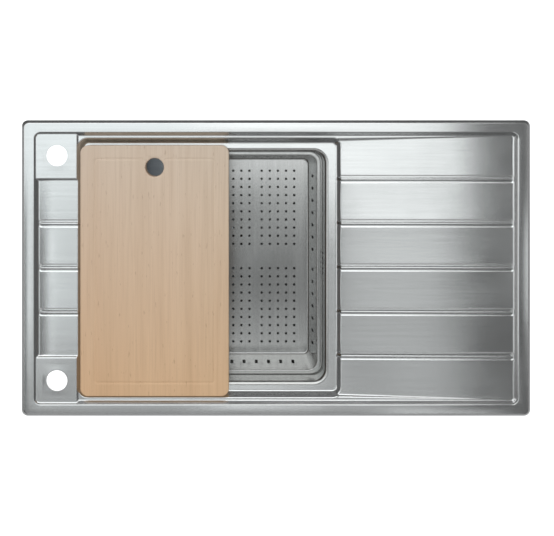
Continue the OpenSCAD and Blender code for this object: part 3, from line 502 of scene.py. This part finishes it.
PRESSED = brushed_steel("pressed_steel", (0.63, 0.64, 0.64), (0.72, 0.73, 0.73), 0.18, "x", 0.08)
# Painted shade: the bowl's steel is the deck's steel with a darker colour, for the shade deep in the sink.
SHADED_BOWL_STEEL = brushed_steel("bowl_steel", (0.47, 0.47, 0.46), (0.57, 0.57, 0.56), 0.24, "x", 0.08)
# Painted shade: the tray's steel is the deck's steel with a darker colour, for the shade the bowl's walls cast
# on the sunken tray.
SHADED_TRAY_STEEL = brushed_steel("tray_steel", (0.445, 0.448, 0.443), (0.535, 0.538, 0.53), 0.24, "y", 0.08)
BRIGHT = plain_finish("polished_steel", (0.70, 0.71, 0.72), (0.78, 0.79, 0.80), 0.14, 1.0, 40, 0.05)
ZINC = plain_finish("zinc_plate", (0.50, 0.52, 0.54), (0.66, 0.67, 0.68), 0.36, 1.0, 90, 0.15)
RUBBER = plain_finish("black_rubber", (0.016, 0.016, 0.017), (0.03, 0.03, 0.031), 0.72, 0.0, 50, 0.25)
PAD = plain_finish("deadening_pad", (0.045, 0.048, 0.05), (0.075, 0.078, 0.08), 0.85, 0.0, 120, 0.6, 0.0006)
WHITE = plain_finish("white_plastic", (0.70, 0.70, 0.68), (0.78, 0.78, 0.76), 0.42, 0.0, 30, 0.12)
GREY = plain_finish("grey_plastic", (0.28, 0.285, 0.29), (0.34, 0.345, 0.35), 0.46, 0.0, 30, 0.15)
WOOD = board_wood()

FINISH_OF_SLOT = {
    "pressed_steel": PRESSED, "bowl_steel": SHADED_BOWL_STEEL, "tray_steel": SHADED_TRAY_STEEL, "waste_steel": BRIGHT,
    "fixing_steel": ZINC, "beech": WOOD, "black_rubber": RUBBER, "deadening_pad": PAD,
    "white_plastic": WHITE, "grey_plastic": GREY,
}
for part in frame["record"]["subparts"]:
    node = frame["nodes"][part["node"]]
    node.data.materials.clear()
    node.data.materials.append(FINISH_OF_SLOT[part["material_slot"]])
BODY_OF_NODE = {
    node: body for body, nodes in frame["record"]["behaviour"]["bodies"].items() for node in nodes
}

# ---------------------------------------------------------------- deck

RIB_TOP, RIB_TOP_HALF, GROOVE_DEPTH = 2.2, 1.1, 0.8
GROOVE_START, GROOVE_STOP, RIB_HALF = 3.2, 5.6, 6.6
DRAINER_RIB, STRIP_RIB = (96.0, 397.5), (-396.0, -330.0)
STRIP_X, STRIP_HALF_Y = -330, 148
DISH_DEPTH, DISH_HALF = 0.35, 30.0
GUTTER_END, GUTTER_STEEP, GUTTER_LEFT_X = 0.6, 0.45, DRAINER_X0 - 5.5
WALL_LEAN, LEAN_FROM, LEAN_TO = 0.4, -2, 8
RIB_REACH, DRAINER_RIBS_X, DRAINER_RIBS_RISE, STRIP_RIBS_RISE = 8, 95, 7, 5
CROWN_X, CROWN_RUN, CROWN_FALL = -370, 30, 0.8
PLATFORM_EDGE_X, PLATFORM_EDGE_Y = (-337, -334), (PANEL * 2 - 1.5, PANEL * 2 + 1.5)
RIM_JOIN, RIM_INNER, RIM_OUTER, RIM_END = 4.0, 6.0, 22.5, 27.5
RIM_RADII, RIM_REACH_Y = [10, 12, 8, 11], [4, 6, 21, 26]
OPENING_CELLS_X, OPENING_CELLS_Y, TAP_CELLS = (-318, 95), (-206.5, 206.5), 24


def rib_form(x, y, ends):
    """Distance d to a rib's middle line and the rib's height over its floor.

    A flat-topped bead falls from RIB_TOP at d = RIB_TOP_HALF to the grooves, which are GROOVE_DEPTH deep from
    d = GROOVE_START to GROOVE_STOP and rise to the floor at d = RIB_HALF.
    """
    d = np.hypot(np.maximum(np.maximum(ends[0] - x, x - ends[1]), 0), y)
    bead = soft_ramp(d, RIB_TOP_HALF, GROOVE_START, RIB_TOP, -GROOVE_DEPTH, 0.35)
    return d, bead + soft_ramp(d, GROOVE_STOP, RIB_HALF, 0.0, GROOVE_DEPTH, 0.25)


def gutter_fold(x):
    """Y of the fold between the drainer and its gutter, and the share of the drainer's length at x."""
    along = np.clip((x - DRAINER_X0) / (DRAINER_X1 - DRAINER_X0), 0, 1)
    return GUTTER_Y + (DECK_Y - GUTTER_END - GUTTER_Y) * along, along


def panel_dish(y):
    """The sheet's sag between two ribs: DISH_DEPTH (1 - (v / DISH_HALF)^2), v from the panel's middle."""
    v = np.abs((y % PANEL) - PANEL / 2)
    return DISH_DEPTH * np.maximum(1 - (v / DISH_HALF) ** 2, 0)


def deck_height(x, y):
    """Height of the pressed deck at (x, y), from signed distances to the outlines of its forms.

    The recess wall rises from the ledge to the deck over RECESS_RUN of distance, and over 1 + WALL_LEAN times
    that by the drainer. The drainer's floor rises from LOW_Z by the recess to the deck's height at its far
    end, less the dish of its panels, and its gutters rise over GUTTER_STEEP of their width. The lower of the
    two is taken. Ribs are added in the measure that it lies above the ledge, the strip falls by
    CROWN_FALL t^2 at its left end, the tap platforms are added, and outside DECK_X by DECK_Y the sheet rises
    at 45 degrees.
    """
    slow = 1 + WALL_LEAN * soft_ramp(x - RECESS_X - np.abs(y), LEAN_FROM, LEAN_TO, 0, 1, 2.0)
    wall = rect_distance(x - RECESS_X, y, *LEDGE_HALF, LEDGE_R) / slow
    wall = soft_ramp(wall, 0, RECESS_RUN, LEDGE_Z, DECK_Z, 1.2)
    fold, along = gutter_fold(x)
    floor = LOW_Z + (DECK_Z - LOW_Z) * along - panel_dish(y)
    out, left = np.abs(y) - fold, GUTTER_LEFT_X - x
    reach = np.where((out > 0) & (left > 0), np.hypot(out, left), np.maximum(out, left))
    run = np.maximum(DECK_Y - fold, GUTTER_END)
    drainer = floor + (DECK_Z - floor) * soft_ramp(reach / run, 0, GUTTER_STEEP, 0, 1, 0.12)
    z = soft_min(wall, drainer, 1.0)
    for i in range(-2, 3):
        d, form = rib_form(x, y - i * PANEL, DRAINER_RIB)
        shown = np.clip((z - LEDGE_Z) / DRAINER_RIBS_RISE, 0, 1)
        z = np.where((x > DRAINER_RIBS_X) & (d < RIB_REACH), z + form * shown, z)
        if abs(i) < 2:
            d, form = rib_form(x, y - i * PANEL, STRIP_RIB)
            shown = np.clip((z - LEDGE_Z) / STRIP_RIBS_RISE, 0, 1)
            z = np.where((x < STRIP_X) & (d < RIB_REACH), z + form * shown, z)
    strip = (x < STRIP_X) & (np.abs(y) < STRIP_HALF_Y)
    z = z - np.where(strip, CROWN_FALL * (np.clip(CROWN_X - x, 0, CROWN_RUN) / CROWN_RUN) ** 2, 0)
    platform = soft_ramp(np.abs(y), *PLATFORM_EDGE_Y, 0, 1, 0.9) * soft_ramp(x, *PLATFORM_EDGE_X, 1, 0, 0.9)
    z = z + (PLATFORM_Z - DECK_Z) * platform
    step = DECK_Z + rect_distance(x, y, DECK_X, DECK_Y, DECK_R)
    return -soft_min(-z, -step, 0.6)


def build_deck():
    """The deck as a height field on a grid that is fine where the sheet bends, and the rim as rings.

    The grid's Y lines beyond 200 lean with the gutter's fold, so that the fold lies on a line of the
    grid. Its edge lies two thirds of the way up the rim's step.
    """
    core = (DECK_X - DECK_R, DECK_Y - DECK_R)
    xs = lines(
        (-406.5, -396.5, 0.83), (-396.5, -394, 1.25), (-394, -346, 4), (-346, -318, 0.9), (-318, -288, 2.5),
        (-288, 65, 24), (65, 95, 2.5), (95, 118, 0.75), (118, 386, 16), (386, 406.5, 0.8),
    )
    ys = spread(lines(
        (0, 8, 0.67), (8, 67, 4.2), (67, 83, 0.67), (83, 142, 4.2), (142, 158, 0.67), (158, 166, 4),
        (166, 176.5, 3.5), (176.5, 206.5, 2.5), (206.5, 214, 0.9), (214, 228, 0.75),
    ))
    x, v = np.meshgrid(xs, ys, indexing="ij")
    fold, _ = gutter_fold(x)
    a = np.abs(v)
    y = np.sign(v) * np.where(a < 200, a, np.where(
        a < GUTTER_Y, 200 + (a - 200) * (fold - 200) / (GUTTER_Y - 200),
        np.where(a < DECK_Y, fold + (a - GUTTER_Y) * (DECK_Y - fold) / (DECK_Y - GUTTER_Y), a),
    ))
    x, y = corner_bend(x, y, core)
    points = np.stack([x, y, deck_height(x, y)], -1)
    opening = outline((RECESS_X, 0, LEDGE_Z), OPENING_R, (OPENING_CORE, OPENING_CORE))
    i, j = (
        [nearest(grid, end) for end in ends] for grid, ends in ((xs, OPENING_CELLS_X), (ys, OPENING_CELLS_Y))
    )
    holes = [(*i, *j, [opening])]
    for side in (-1, 1):
        tap = (TAP_X, side * TAP_Y, PLATFORM_Z)
        holes.append((
            nearest(xs, TAP_X - TAP_CELLS), nearest(xs, TAP_X + TAP_CELLS),
            nearest(ys, side * TAP_Y - TAP_CELLS), nearest(ys, side * TAP_Y + TAP_CELLS),
            [outline(tap, TAP_R + 3), outline(tap, TAP_R)],
        ))
    shells = sheet_with_holes(points, holes, flip=True)
    bends = [RIM_JOIN, RIM_INNER, RIM_OUTER, RIM_END]
    line = fillet(
        [(RIM_JOIN, 3.0), (RIM_INNER, RIM_Z), (RIM_OUTER, RIM_Z), (RIM_END, 0.6), (RIM_END, 0.0)],
        [0, 1.8, 2.4, 0.8, 0],
    )
    radius = np.interp(line[:, 0], bends, RIM_RADII)
    reach = np.interp(line[:, 0], bends, RIM_REACH_Y)
    sizes = [(DECK_X + o, DECK_Y + v, r, z) for (o, z), v, r in zip(line, reach, radius)]
    rim = rings_round(edge_loop(points, core, DECK_R + RIM_JOIN), sizes)
    rim[0] = block_loop(points, 0, len(xs) - 1, 0, len(ys) - 1)
    shells.append((rim.reshape(-1, 3), quads(*rim.shape[:2], close=True)[:, ::-1]))
    return piece("deck_pressing", shells, "sink", PRESSED, ("deck",), SHEET)


build_deck()

# ---------------------------------------------------------------- bowl

TRAY_STEP = 6
OVERFLOW_PITCH, OVERFLOW_Z = 9.0, -40
OVERFLOW_WALL_Z = [-33.5, -36.75, -40.0, -43.25, -46.0]


def build_bowl():
    """Lip, wall, tray step, lower wall and floor as rings, then the floor drawn to the round waste seat."""
    slot_lines = OVERFLOW_PITCH / 2 * np.arange(-5, 6)
    side_y = np.concatenate([[-150, -110, -70, -40], slot_lines, [40, 70, 110, 150]]) / OPENING_CORE
    share, n = loop_base(side_y, side_y, 11)
    sizes = []
    for a in np.linspace(0, np.pi / 2, 8):
        sizes.append((LIP_R * (1 - math.sin(a)), LEDGE_Z - LIP_R * (1 - math.cos(a))))
    sizes += [(0.0, -24.0)] + [(0.0, z) for z in OVERFLOW_WALL_Z]
    line = fillet(
        [(0, -47), (0, STEP_Z), (-TRAY_STEP, STEP_Z), (-TRAY_STEP, FLOOR_Z), (-TRAY_STEP - FLOOR_R, FLOOR_Z)],
        [0, 1.0, 1.2, FLOOR_R, 0], 6,
    )
    sizes += [tuple(p) for p in line[:-1]]
    rings = rings_round((share, n), [
        (OPENING_CORE + BOWL_R + s, OPENING_CORE + BOWL_R + s, BOWL_R + s, z) for s, z in sizes
    ], (RECESS_X, 0.0))
    last = rings[-1]
    turn = np.arctan2(last[:, 1], last[:, 0] - RECESS_X)
    seat = fillet(
        [(SEAT_R + 7, FLOOR_Z), (SEAT_R + 4, FLOOR_Z), (SEAT_R, SEAT_Z), (WASTE_HOLE_R, SEAT_Z)],
        [0, 2, 2, 0], 4,
    )
    circles = [
        np.column_stack([RECESS_X + np.cos(turn) * r, np.sin(turn) * r, np.full(len(turn), z)])
        for r, z in seat
    ]
    floor = [last + (circles[0] - last) * s for s in np.linspace(0, 1, 8)[1:]]
    points = np.concatenate([rings, np.stack(floor + circles[1:])])
    heights = np.array([z for _, z in sizes])
    right_side = rings[0][:len(side_y), 1]
    holes = []
    for y in OVERFLOW_PITCH * np.arange(-2, 3):
        j = [nearest(right_side, y + s * OVERFLOW_PITCH / 2) for s in (-1, 1)]
        k = [nearest(heights, OVERFLOW_WALL_Z[end]) for end in (0, -1)]
        slot = outline((RECESS_X + OPENING_CORE + BOWL_R, y, OVERFLOW_Z), 2.0, (0, 3), (0, 1, 0), (0, 0, 1))
        holes.append((*k, *j, [slot]))
    shells = sheet_with_holes(points, holes, close=True)
    return piece("bowl_pressing", shells, "sink", SHADED_BOWL_STEEL, ("bowl",), SHEET)


build_bowl()

# ---------------------------------------------------------------- perforated tray

HOLE_PITCH, HOLE_R = 15, 2.3
SLOT_PITCH, SLOT_R, SLOT_CORE, SLOT_CELL = 22.0, 2.7, (0, 4.4), 5.5
SLOT_Z, SLOT_SPLIT = -78, (-88.0, -83.0, -78.0, -73.0, -68.0)
TRAY_GRID_HALF = (94.5, 177.5)
TRAY_FLOOR_END, TRAY_WALL_FOOT, TRAY_WALL_TOP, TRAY_RIM_END, TRAY_HEM = 2.0, 4.6, 13.0, 20.0, 3
TRAY_RADII = [8, 10, 16, 20]


def build_tray():
    """The tray: its floor as a grid with round holes, then bend, leaning wall with slots, rim and hem as rings.

    The slots lie SLOT_CELL to each side of their places, between the wall's rings at the ends of SLOT_SPLIT.
    """
    columns = 11.25 + HOLE_PITCH * np.arange(5)
    rows = 22.5 + HOLE_PITCH * np.arange(10)
    end_slots = SLOT_PITCH * np.arange(-3, 4)
    long_slots = spread(18.0 + SLOT_PITCH * np.arange(7))
    xs = spread(np.unique(np.concatenate([
        lines((3.75, 78.75, 3.75), (78.75, 86.5, 4), (86.5, TRAY_GRID_HALF[0], 0.9)),
        [0.0], SLOT_CELL * np.arange(1, 15, 2),
    ])))
    ys = spread(np.unique(np.concatenate([
        lines((0, 15, 3.75), (15, 165, 3.75), (165, 169.5, 4.5), (169.5, TRAY_GRID_HALF[1], 0.9)),
        np.abs(long_slots) - SLOT_CELL, np.abs(long_slots) + SLOT_CELL,
    ])))
    x, y = np.meshgrid(xs, ys, indexing="ij")
    x, y = corner_bend(x, y, TRAY_FLOOR_CORE)
    points = np.stack([x + TRAY_X, y, np.full(x.shape, TRAY_FLOOR_Z)], -1)
    holes = []
    for cx in spread(columns):
        i = [nearest(xs, cx + s * HOLE_PITCH / 2) for s in (-1, 1)]
        for cy in spread(rows):
            j = [nearest(ys, cy + s * HOLE_PITCH / 2) for s in (-1, 1)]
            holes.append((*i, *j, [outline((cx + TRAY_X, cy, TRAY_FLOOR_Z), HOLE_R)]))
    shells = sheet_with_holes(points, holes, flip=True)
    line = fillet(
        [(TRAY_FLOOR_END, TRAY_FLOOR_Z), (TRAY_WALL_FOOT, TRAY_FLOOR_Z), (TRAY_WALL_TOP, TRAY_Z),
         (TRAY_RIM_END, TRAY_Z), (TRAY_RIM_END, TRAY_Z - TRAY_HEM)],
        [0, 2.6, 1.4, 1.1, 0], 5,
    )
    wall = int(np.argmax(np.linalg.norm(np.diff(line, axis=0), axis=1)[:-1]))
    lo, hi = line[wall], line[wall + 1]
    split = [lo + (hi - lo) * (z - lo[1]) / (hi[1] - lo[1]) for z in SLOT_SPLIT]
    line = np.vstack([line[: wall + 1], split, line[wall + 1:]])
    base = edge_loop(points - [TRAY_X, 0, 0], TRAY_FLOOR_CORE, TRAY_GRID_HALF[0] - TRAY_FLOOR_CORE[0])
    bends = [TRAY_FLOOR_END, TRAY_WALL_FOOT, TRAY_WALL_TOP, TRAY_RIM_END]
    radius = np.interp(line[:, 0], bends, TRAY_RADII)
    rings = rings_round(
        base, [(TRAY_CORE[0] + o, TRAY_CORE[1] + o, r, z) for (o, z), r in zip(line, radius)], (TRAY_X, 0))
    rings[0] = block_loop(points, 0, len(xs) - 1, 0, len(ys) - 1)
    k0, k1 = nearest(line[:, 1], SLOT_SPLIT[0]), nearest(line[:, 1], SLOT_SPLIT[-1])
    tilt = (hi - lo) / np.linalg.norm(hi - lo)
    out = float(np.interp(SLOT_Z, line[k0: k1 + 1, 1], line[k0: k1 + 1, 0]))
    foot = rings[0] - [TRAY_X, 0, 0]

    def span(axis, side, middle):
        on_side = np.abs(foot[:, axis] - side * TRAY_GRID_HALF[axis]) < 1e-6
        near = np.where(on_side & (np.abs(foot[:, 1 - axis] - middle) < SLOT_CELL + 0.1))[0]
        return near.min(), near.max()

    slots = []
    for side in (-1, 1):
        for cx in end_slots:
            centre = (TRAY_X + cx, side * (TRAY_CORE[1] + out), SLOT_Z)
            slot = outline(centre, SLOT_R, SLOT_CORE, (1, 0, 0), (0, side * tilt[0], tilt[1]))
            slots.append((k0, k1, *span(1, side, cx), [slot]))
        for cy in long_slots:
            centre = (TRAY_X + side * (TRAY_CORE[0] + out), cy, SLOT_Z)
            slot = outline(centre, SLOT_R, SLOT_CORE, (0, 1, 0), (side * tilt[0], 0, tilt[1]))
            slots.append((k0, k1, *span(0, side, cy), [slot]))
    shells += sheet_with_holes(rings, slots, close=True, flip=True)
    return piece("tray_pressing", shells, "tray", SHADED_TRAY_STEEL, ("perforated_tray",), 1.0)


build_tray()

# ---------------------------------------------------------------- board

JUICE_HALF, JUICE_DEPTH, JUICE_RECT = 3.2, 0.8, (100.0, 188.0, 5.0)
FINGER_Y, FINGER_CELLS_X, FINGER_CELLS_Y = 174.0, (-20, 20), (152.5, 195.2)
FINGER_TOP = ((17.4, 0), (16.6, 0.2), (16.0, 0.6), (15.6, 1.2), (15.5, 2.0))
FINGER_BOTTOM = ((15.5, 2.0), (15.7, 0.8), (16.6, 0))
BOARD_OVER, UNDER_OVER = 10.5, 6.0


def groove_height(x, y):
    """Height of the board's top: a groove -JUICE_DEPTH cos^2(pi d / 2 JUICE_HALF), d from its middle line."""
    d = np.abs(rect_distance(x - BOARD_X, y - BOARD_Y, *JUICE_RECT))
    return BOARD_TOP - np.where(d < JUICE_HALF, JUICE_DEPTH * np.cos(np.pi * d / (2 * JUICE_HALF)) ** 2, 0)


def build_board():
    """The board: top with groove and finger hole, edges as rings, and the underside.

    The finger hole's rings lie at a depth under the grooved top, and then at a height over the underside.
    """
    xs = spread(lines((0, 20, 2.5), (20, 96, 19), (96, 104, 0.8), (104, 112, 4), (112, 122.5, 1.3)))
    ys = np.concatenate([-lines((0, 184, 23), (184, 192, 0.8), (192, 198, 3), (198, 208.5, 1.3))[:0:-1],
                         lines((0, 150, 25), (150, 184, 2.5), (184, 198, 0.8), (198, 208.5, 1.3))])
    x, y = np.meshgrid(xs, ys, indexing="ij")
    x, y = corner_bend(x, y, BOARD_CORE)
    x, y = x + BOARD_X, y + BOARD_Y
    points = np.stack([x, y, groove_height(x, y)], -1)
    hole = (BOARD_X, BOARD_Y + FINGER_Y)

    def finger(r, depth=None, height=None):
        ring = outline((*hole, BOARD_TOP), r)

        def place(loop):
            p = ring(loop)
            p[:, 2] = BOARD_BOTTOM + height if depth is None else groove_height(p[:, 0], p[:, 1]) - depth
            return p

        return place

    top_hole = [finger(r, depth=d) for r, d in FINGER_TOP] + [finger(r, height=h) for r, h in FINGER_BOTTOM]
    i = [nearest(xs, end) for end in FINGER_CELLS_X]
    j = [nearest(ys, end) for end in FINGER_CELLS_Y]
    shells = sheet_with_holes(points, [(*i, *j, top_hole)], flip=True)
    line = fillet(
        [(BOARD_OVER, BOARD_TOP), (BOARD_R, BOARD_TOP), (BOARD_R, BOARD_BOTTOM + 6), (7.0, BOARD_BOTTOM),
         (UNDER_OVER, BOARD_BOTTOM)],
        [0, 2.0, 1.5, 1.5, 0],
    )
    base = edge_loop(points - [BOARD_X, BOARD_Y, 0], BOARD_CORE, BOARD_OVER)
    sizes = [(BOARD_CORE[0] + o, BOARD_CORE[1] + o, o, z) for o, z in line]
    rings = rings_round(base, sizes, (BOARD_X, BOARD_Y))
    rings[0] = block_loop(points, 0, len(xs) - 1, 0, len(ys) - 1)
    shells.append((rings.reshape(-1, 3), quads(*rings.shape[:2], close=True)[:, ::-1]))
    x, y = (
        np.clip(v, -c, c) + (v - np.clip(v, -c, c)) * (UNDER_OVER / BOARD_OVER)
        for v, c in zip((xs, ys), BOARD_CORE)
    )
    x, y = corner_bend(*np.meshgrid(x, y, indexing="ij"), BOARD_CORE)
    under = np.stack([x + BOARD_X, y + BOARD_Y, np.full(x.shape, BOARD_BOTTOM)], -1)
    below = [outline((*hole, BOARD_BOTTOM), FINGER_BOTTOM[-1][0])]
    shells += [flipped(s) for s in sheet_with_holes(under, [(*i, *j, below)], flip=True)]
    return piece("beech_board", shells, "board", WOOD, ("cutting_board",))


build_board()

# ---------------------------------------------------------------- overflow hose

HOSE_TOP, HOSE_END, HOSE_BEND = (97.2, -68.5), (-39.2, -236.5), 45.0
HOSE_RIBS, HOSE_R, HOSE_WAVE, HOSE_BORE, HOSE_AROUND = 58, 12.0, 1.0, 9.0, 40


def build_hose():
    """The ribbed hose along its route: straight down, a quarter bend of 45 mm and level to the waste.

    The radius is HOSE_R - HOSE_WAVE c, c = cos(2 pi HOSE_RIBS s / length) flattened to sign(c) |c|^0.6.
    """
    drop = HOSE_TOP[1] - HOSE_END[1] - HOSE_BEND
    arc = HOSE_BEND * math.pi / 2
    level = HOSE_TOP[0] - HOSE_BEND - HOSE_END[0]
    length = drop + arc + level

    def tube(s, r):
        turn = np.clip((s - drop) / arc, 0, 1) * np.pi / 2
        x = HOSE_TOP[0] - HOSE_BEND * (1 - np.cos(turn)) - np.maximum(s - drop - arc, 0)
        z = HOSE_TOP[1] - np.minimum(s, drop) - HOSE_BEND * np.sin(turn)
        t = np.arange(HOSE_AROUND) * 2 * np.pi / HOSE_AROUND
        across = r[:, None] * np.cos(t)[None, :]
        return np.stack([
            x[:, None] + across * np.cos(turn)[:, None], r[:, None] * np.sin(t)[None, :],
            z[:, None] - across * np.sin(turn)[:, None],
        ], -1)

    s = np.linspace(0, length, HOSE_RIBS * 8 + 1)
    wave = np.cos(2 * np.pi * HOSE_RIBS * s / length)
    outer = tube(s, HOSE_R - HOSE_WAVE * np.sign(wave) * np.abs(wave) ** 0.6)
    s = np.linspace(0, length, 60)
    bore = tube(s, np.full(len(s), HOSE_BORE))
    shells = [
        (outer.reshape(-1, 3), quads(*outer.shape[:2], close=True)[:, ::-1]),
        (bore.reshape(-1, 3), quads(*bore.shape[:2], close=True)),
    ]
    for k, flip in ((0, False), (-1, True)):
        cap = (np.vstack([outer[k], bore[k]]), quads(2, HOSE_AROUND, close=True))
        shells.append(flipped(cap) if flip else cap)
    return piece("ribbed_hose", shells, "sink", GREY, ("overflow_hose",), sharp=60)


build_hose()

# ---------------------------------------------------------------- waste

CUP_FLOOR_Z, CUP_R, DRAIN_RING, DRAIN_R = -250.5, 44.0, 26.4, 6.0


def build_flange():
    """The polished cup of the waste: rolled lip, wall and floor with eight drain holes, as rings.

    The 64 points round are turned by 4, so that each hole lies between points 1 and 7 of its eighth.
    """
    line = fillet(
        [(57.0, -213.3), (55.5, -212.7), (47.0, -211.9), (CUP_R, -213.4), (CUP_R, CUP_FLOOR_Z),
         (35.0, CUP_FLOOR_Z)],
        [0, 1.2, 1.2, 1.4, 3.0, 0], 4,
    )
    line = np.vstack([line[:-1], [(r, CUP_FLOOR_Z) for r in (35.0, 31.0, DRAIN_RING, 22.0, 18.0, 4.0)]])
    points = np.roll(lathe(line, (RECESS_X, 0)), 4, axis=1)
    holes = []
    for i in range(8):
        a = i * np.pi / 4
        centre = (RECESS_X + DRAIN_RING * math.cos(a), DRAIN_RING * math.sin(a), CUP_FLOOR_Z)
        holes.append((len(line) - 6, len(line) - 2, 8 * i + 1, 8 * i + 7, [outline(centre, DRAIN_R)]))
    shells = sheet_with_holes(points, holes, close=True)
    return piece("waste_cup", shells, "sink", BRIGHT, ("waste_flange",), 1.0)


build_flange()


def finished_copy(node_name, name):
    """A CAD node's own mesh, its points merged and its round faces shaded smooth, in its own finish."""
    part = next(p for p in frame["record"]["subparts"] if p["node"] == node_name)
    source = frame["nodes"][node_name].data
    points = np.zeros(len(source.vertices) * 3)
    source.vertices.foreach_get("co", points)
    triangles = np.zeros(len(source.loops), np.int32)
    source.loops.foreach_get("vertex_index", triangles)
    triangles = triangles.reshape(-1, 3)
    shell = (points.reshape(-1, 3) * 1000, np.column_stack([triangles, triangles[:, 2]]))
    slot = part["material_slot"]
    return piece(name, [shell], BODY_OF_NODE[node_name], FINISH_OF_SLOT[slot], (node_name,), sharp=30.0)


for node_name, name in (
    ("waste_body", "waste_housing"), ("waste_screw", "waste_centre_screw"),
    ("overflow_housing", "overflow_box"), ("upper_hose_nut", "hose_nut_upper"),
    ("lower_hose_nut", "hose_nut_lower"), ("strainer_basket", "basket_pressing"),
    ("basket_stopper", "basket_plug"), ("basket_knob", "basket_handle"),
    ("overflow_studs", "welded_studs"), ("clip_screws", "clip_fixing_screws"),
    ("waste_flange_seal", "flange_washer"), ("waste_body_seal", "body_washer"),
    ("rim_seal", "rim_gasket"),
):
    finished_copy(node_name, name)

# ---------------------------------------------------------------- light and stage
# Places and sizes are metres.

FLOOR_HALF, FLOOR_GAP = 6.0, 0.002
FLOOR_REFLECTED, SURROUND_REFLECTED = 0.15, 0.12
HIGH, UNDER_HIGH = 2.4, 2.38
SIDE_SIZE, SIDE_AREA = (1.5, 3.0), 4.5
COOL, BLUISH, GREENISH_BLUE = (0.97, 1.0, 1.0), (0.94, 1.0, 1.01), (0.85, 0.97, 1.1)


def area_light(name, place, aim, size, power, colour=(1, 1, 1)):
    """A rectangular light in metres at place, turned to face aim."""
    data = bpy.data.lights.new(name, "AREA")
    data.shape = "RECTANGLE"
    data.size, data.size_y = size
    data.energy = power
    data.color = colour
    light = bpy.data.objects.new(name, data)
    bpy.context.scene.collection.objects.link(light)
    light.location = place
    light.visible_camera = False
    away = np.array(place) - np.array(aim)
    yaw = math.atan2(away[1], away[0])
    light.rotation_euler = (0, math.acos(away[2] / np.linalg.norm(away)), yaw)
    return light


def overhead(name, x, y, z, radiance, colour):
    """A level soft light that spans x and y at height z: power = radiance * pi * area."""
    size = (x[1] - x[0], y[1] - y[0])
    middle = ((x[0] + x[1]) / 2, (y[0] + y[1]) / 2)
    power = radiance * math.pi * size[0] * size[1]
    light = area_light(name, (*middle, z), (*middle, z - 1), size, power, colour)
    light.rotation_euler = (0, 0, 0)


def bright_to_camera(tree, seen, reflected):
    """A strength that is seen for what the camera looks at and reflected for light in the scene."""
    path = add(tree, "ShaderNodeLightPath")
    node = add(tree, "ShaderNodeMapRange")
    node.inputs["To Min"].default_value = reflected
    node.inputs["To Max"].default_value = seen
    tree.links.new(path.outputs["Is Camera Ray"], node.inputs["Value"])
    return node.outputs["Result"]


def stage():
    """A white floor and surround for the camera, both dim to the steel, which keeps its edges dark."""
    mesh = bpy.data.meshes.new("floor")
    z = cad_box[0].z - FLOOR_GAP
    corners = [(x * FLOOR_HALF, y * FLOOR_HALF, z) for x, y in ((-1, -1), (1, -1), (1, 1), (-1, 1))]
    mesh.from_pydata(corners, [], [(0, 1, 2, 3)])
    floor = bpy.data.objects.new("floor", mesh)
    bpy.context.scene.collection.objects.link(floor)
    mat, tree, shader = material("pale_floor")
    shader.inputs["Base Color"].default_value = (0.8, 0.8, 0.8, 1)
    shader.inputs["Roughness"].default_value = 0.9
    shader.inputs["Emission Color"].default_value = (1, 1, 1, 1)
    tree.links.new(bright_to_camera(tree, 1.0, FLOOR_REFLECTED), shader.inputs["Emission Strength"])
    mesh.materials.append(mat)
    world = bpy.data.worlds.new("surround")
    bpy.context.scene.world = world
    world.use_nodes = True
    background = world.node_tree.nodes["Background"]
    background.inputs[0].default_value = (1.0, 1.0, 1.0, 1)
    strength = bright_to_camera(world.node_tree, 1.0, SURROUND_REFLECTED)
    world.node_tree.links.new(strength, background.inputs[1])


stage()

# A level surface at p shows the camera the point p + (p - eye) (height of the light / height of the eye), so
# the soft boxes lie where the photograph's steel is bright, and the gaps between them where it is dark.
for side, place, radiance in (
    ("left", (-2.2, 0.2, 2.0), 0.95), ("back", (0.0, 2.2, 2.0), 1.35),
    ("right", (2.2, 0.2, 2.0), 0.3), ("front", (0.0, -2.2, 2.0), 0.5),
):
    area_light("side_" + side, place, (0.0, 0.0, 0.0), SIDE_SIZE, radiance * math.pi * SIDE_AREA)
for name, x, y, z, radiance, colour in (
    ("softbox_back_left", (-1.6, -0.25), (-0.10, 0.95), HIGH, 1.15, BLUISH),
    ("softbox_back_middle", (-0.25, 0.40), (-0.05, 0.95), HIGH, 1.4, COOL),
    ("softbox_back_right", (0.40, 1.09), (-0.27, 0.95), HIGH, 1.26, COOL),
    ("softbox_left", (-1.17, -0.22), (-0.85, -0.10), HIGH, 0.70, BLUISH),
    ("softbox_right", (0.40, 1.02), (-0.85, -0.27), HIGH, 0.53, COOL),
    ("softbox_front", (-1.15, 1.02), (-1.40, -0.85), HIGH, 0.35, COOL),
    ("softbox_foot", (-0.20, 0.36), (-1.14, -0.84), UNDER_HIGH, 0.65, COOL),
    ("softbox_corner", (0.74, 1.28), (-1.45, -1.22), UNDER_HIGH, 0.8, COOL),
    ("softbox_rim_left", (-1.14, -1.01), (-1.02, -0.15), UNDER_HIGH, 0.74, COOL),
    ("softbox_rim_right", (1.46, 1.85), (-0.75, -0.25), HIGH, 0.8, COOL),
    ("softbox_far", (-1.6, 0.9), (0.95, 1.95), HIGH, 1.4, COOL),
    ("bowl_fill", (-0.264, -0.144), (0.09, 0.21), -0.03, 0.22, GREENISH_BLUE),
):
    overhead(name, x, y, z, radiance, colour)
bpy.context.scene.view_settings.view_transform = "Standard"
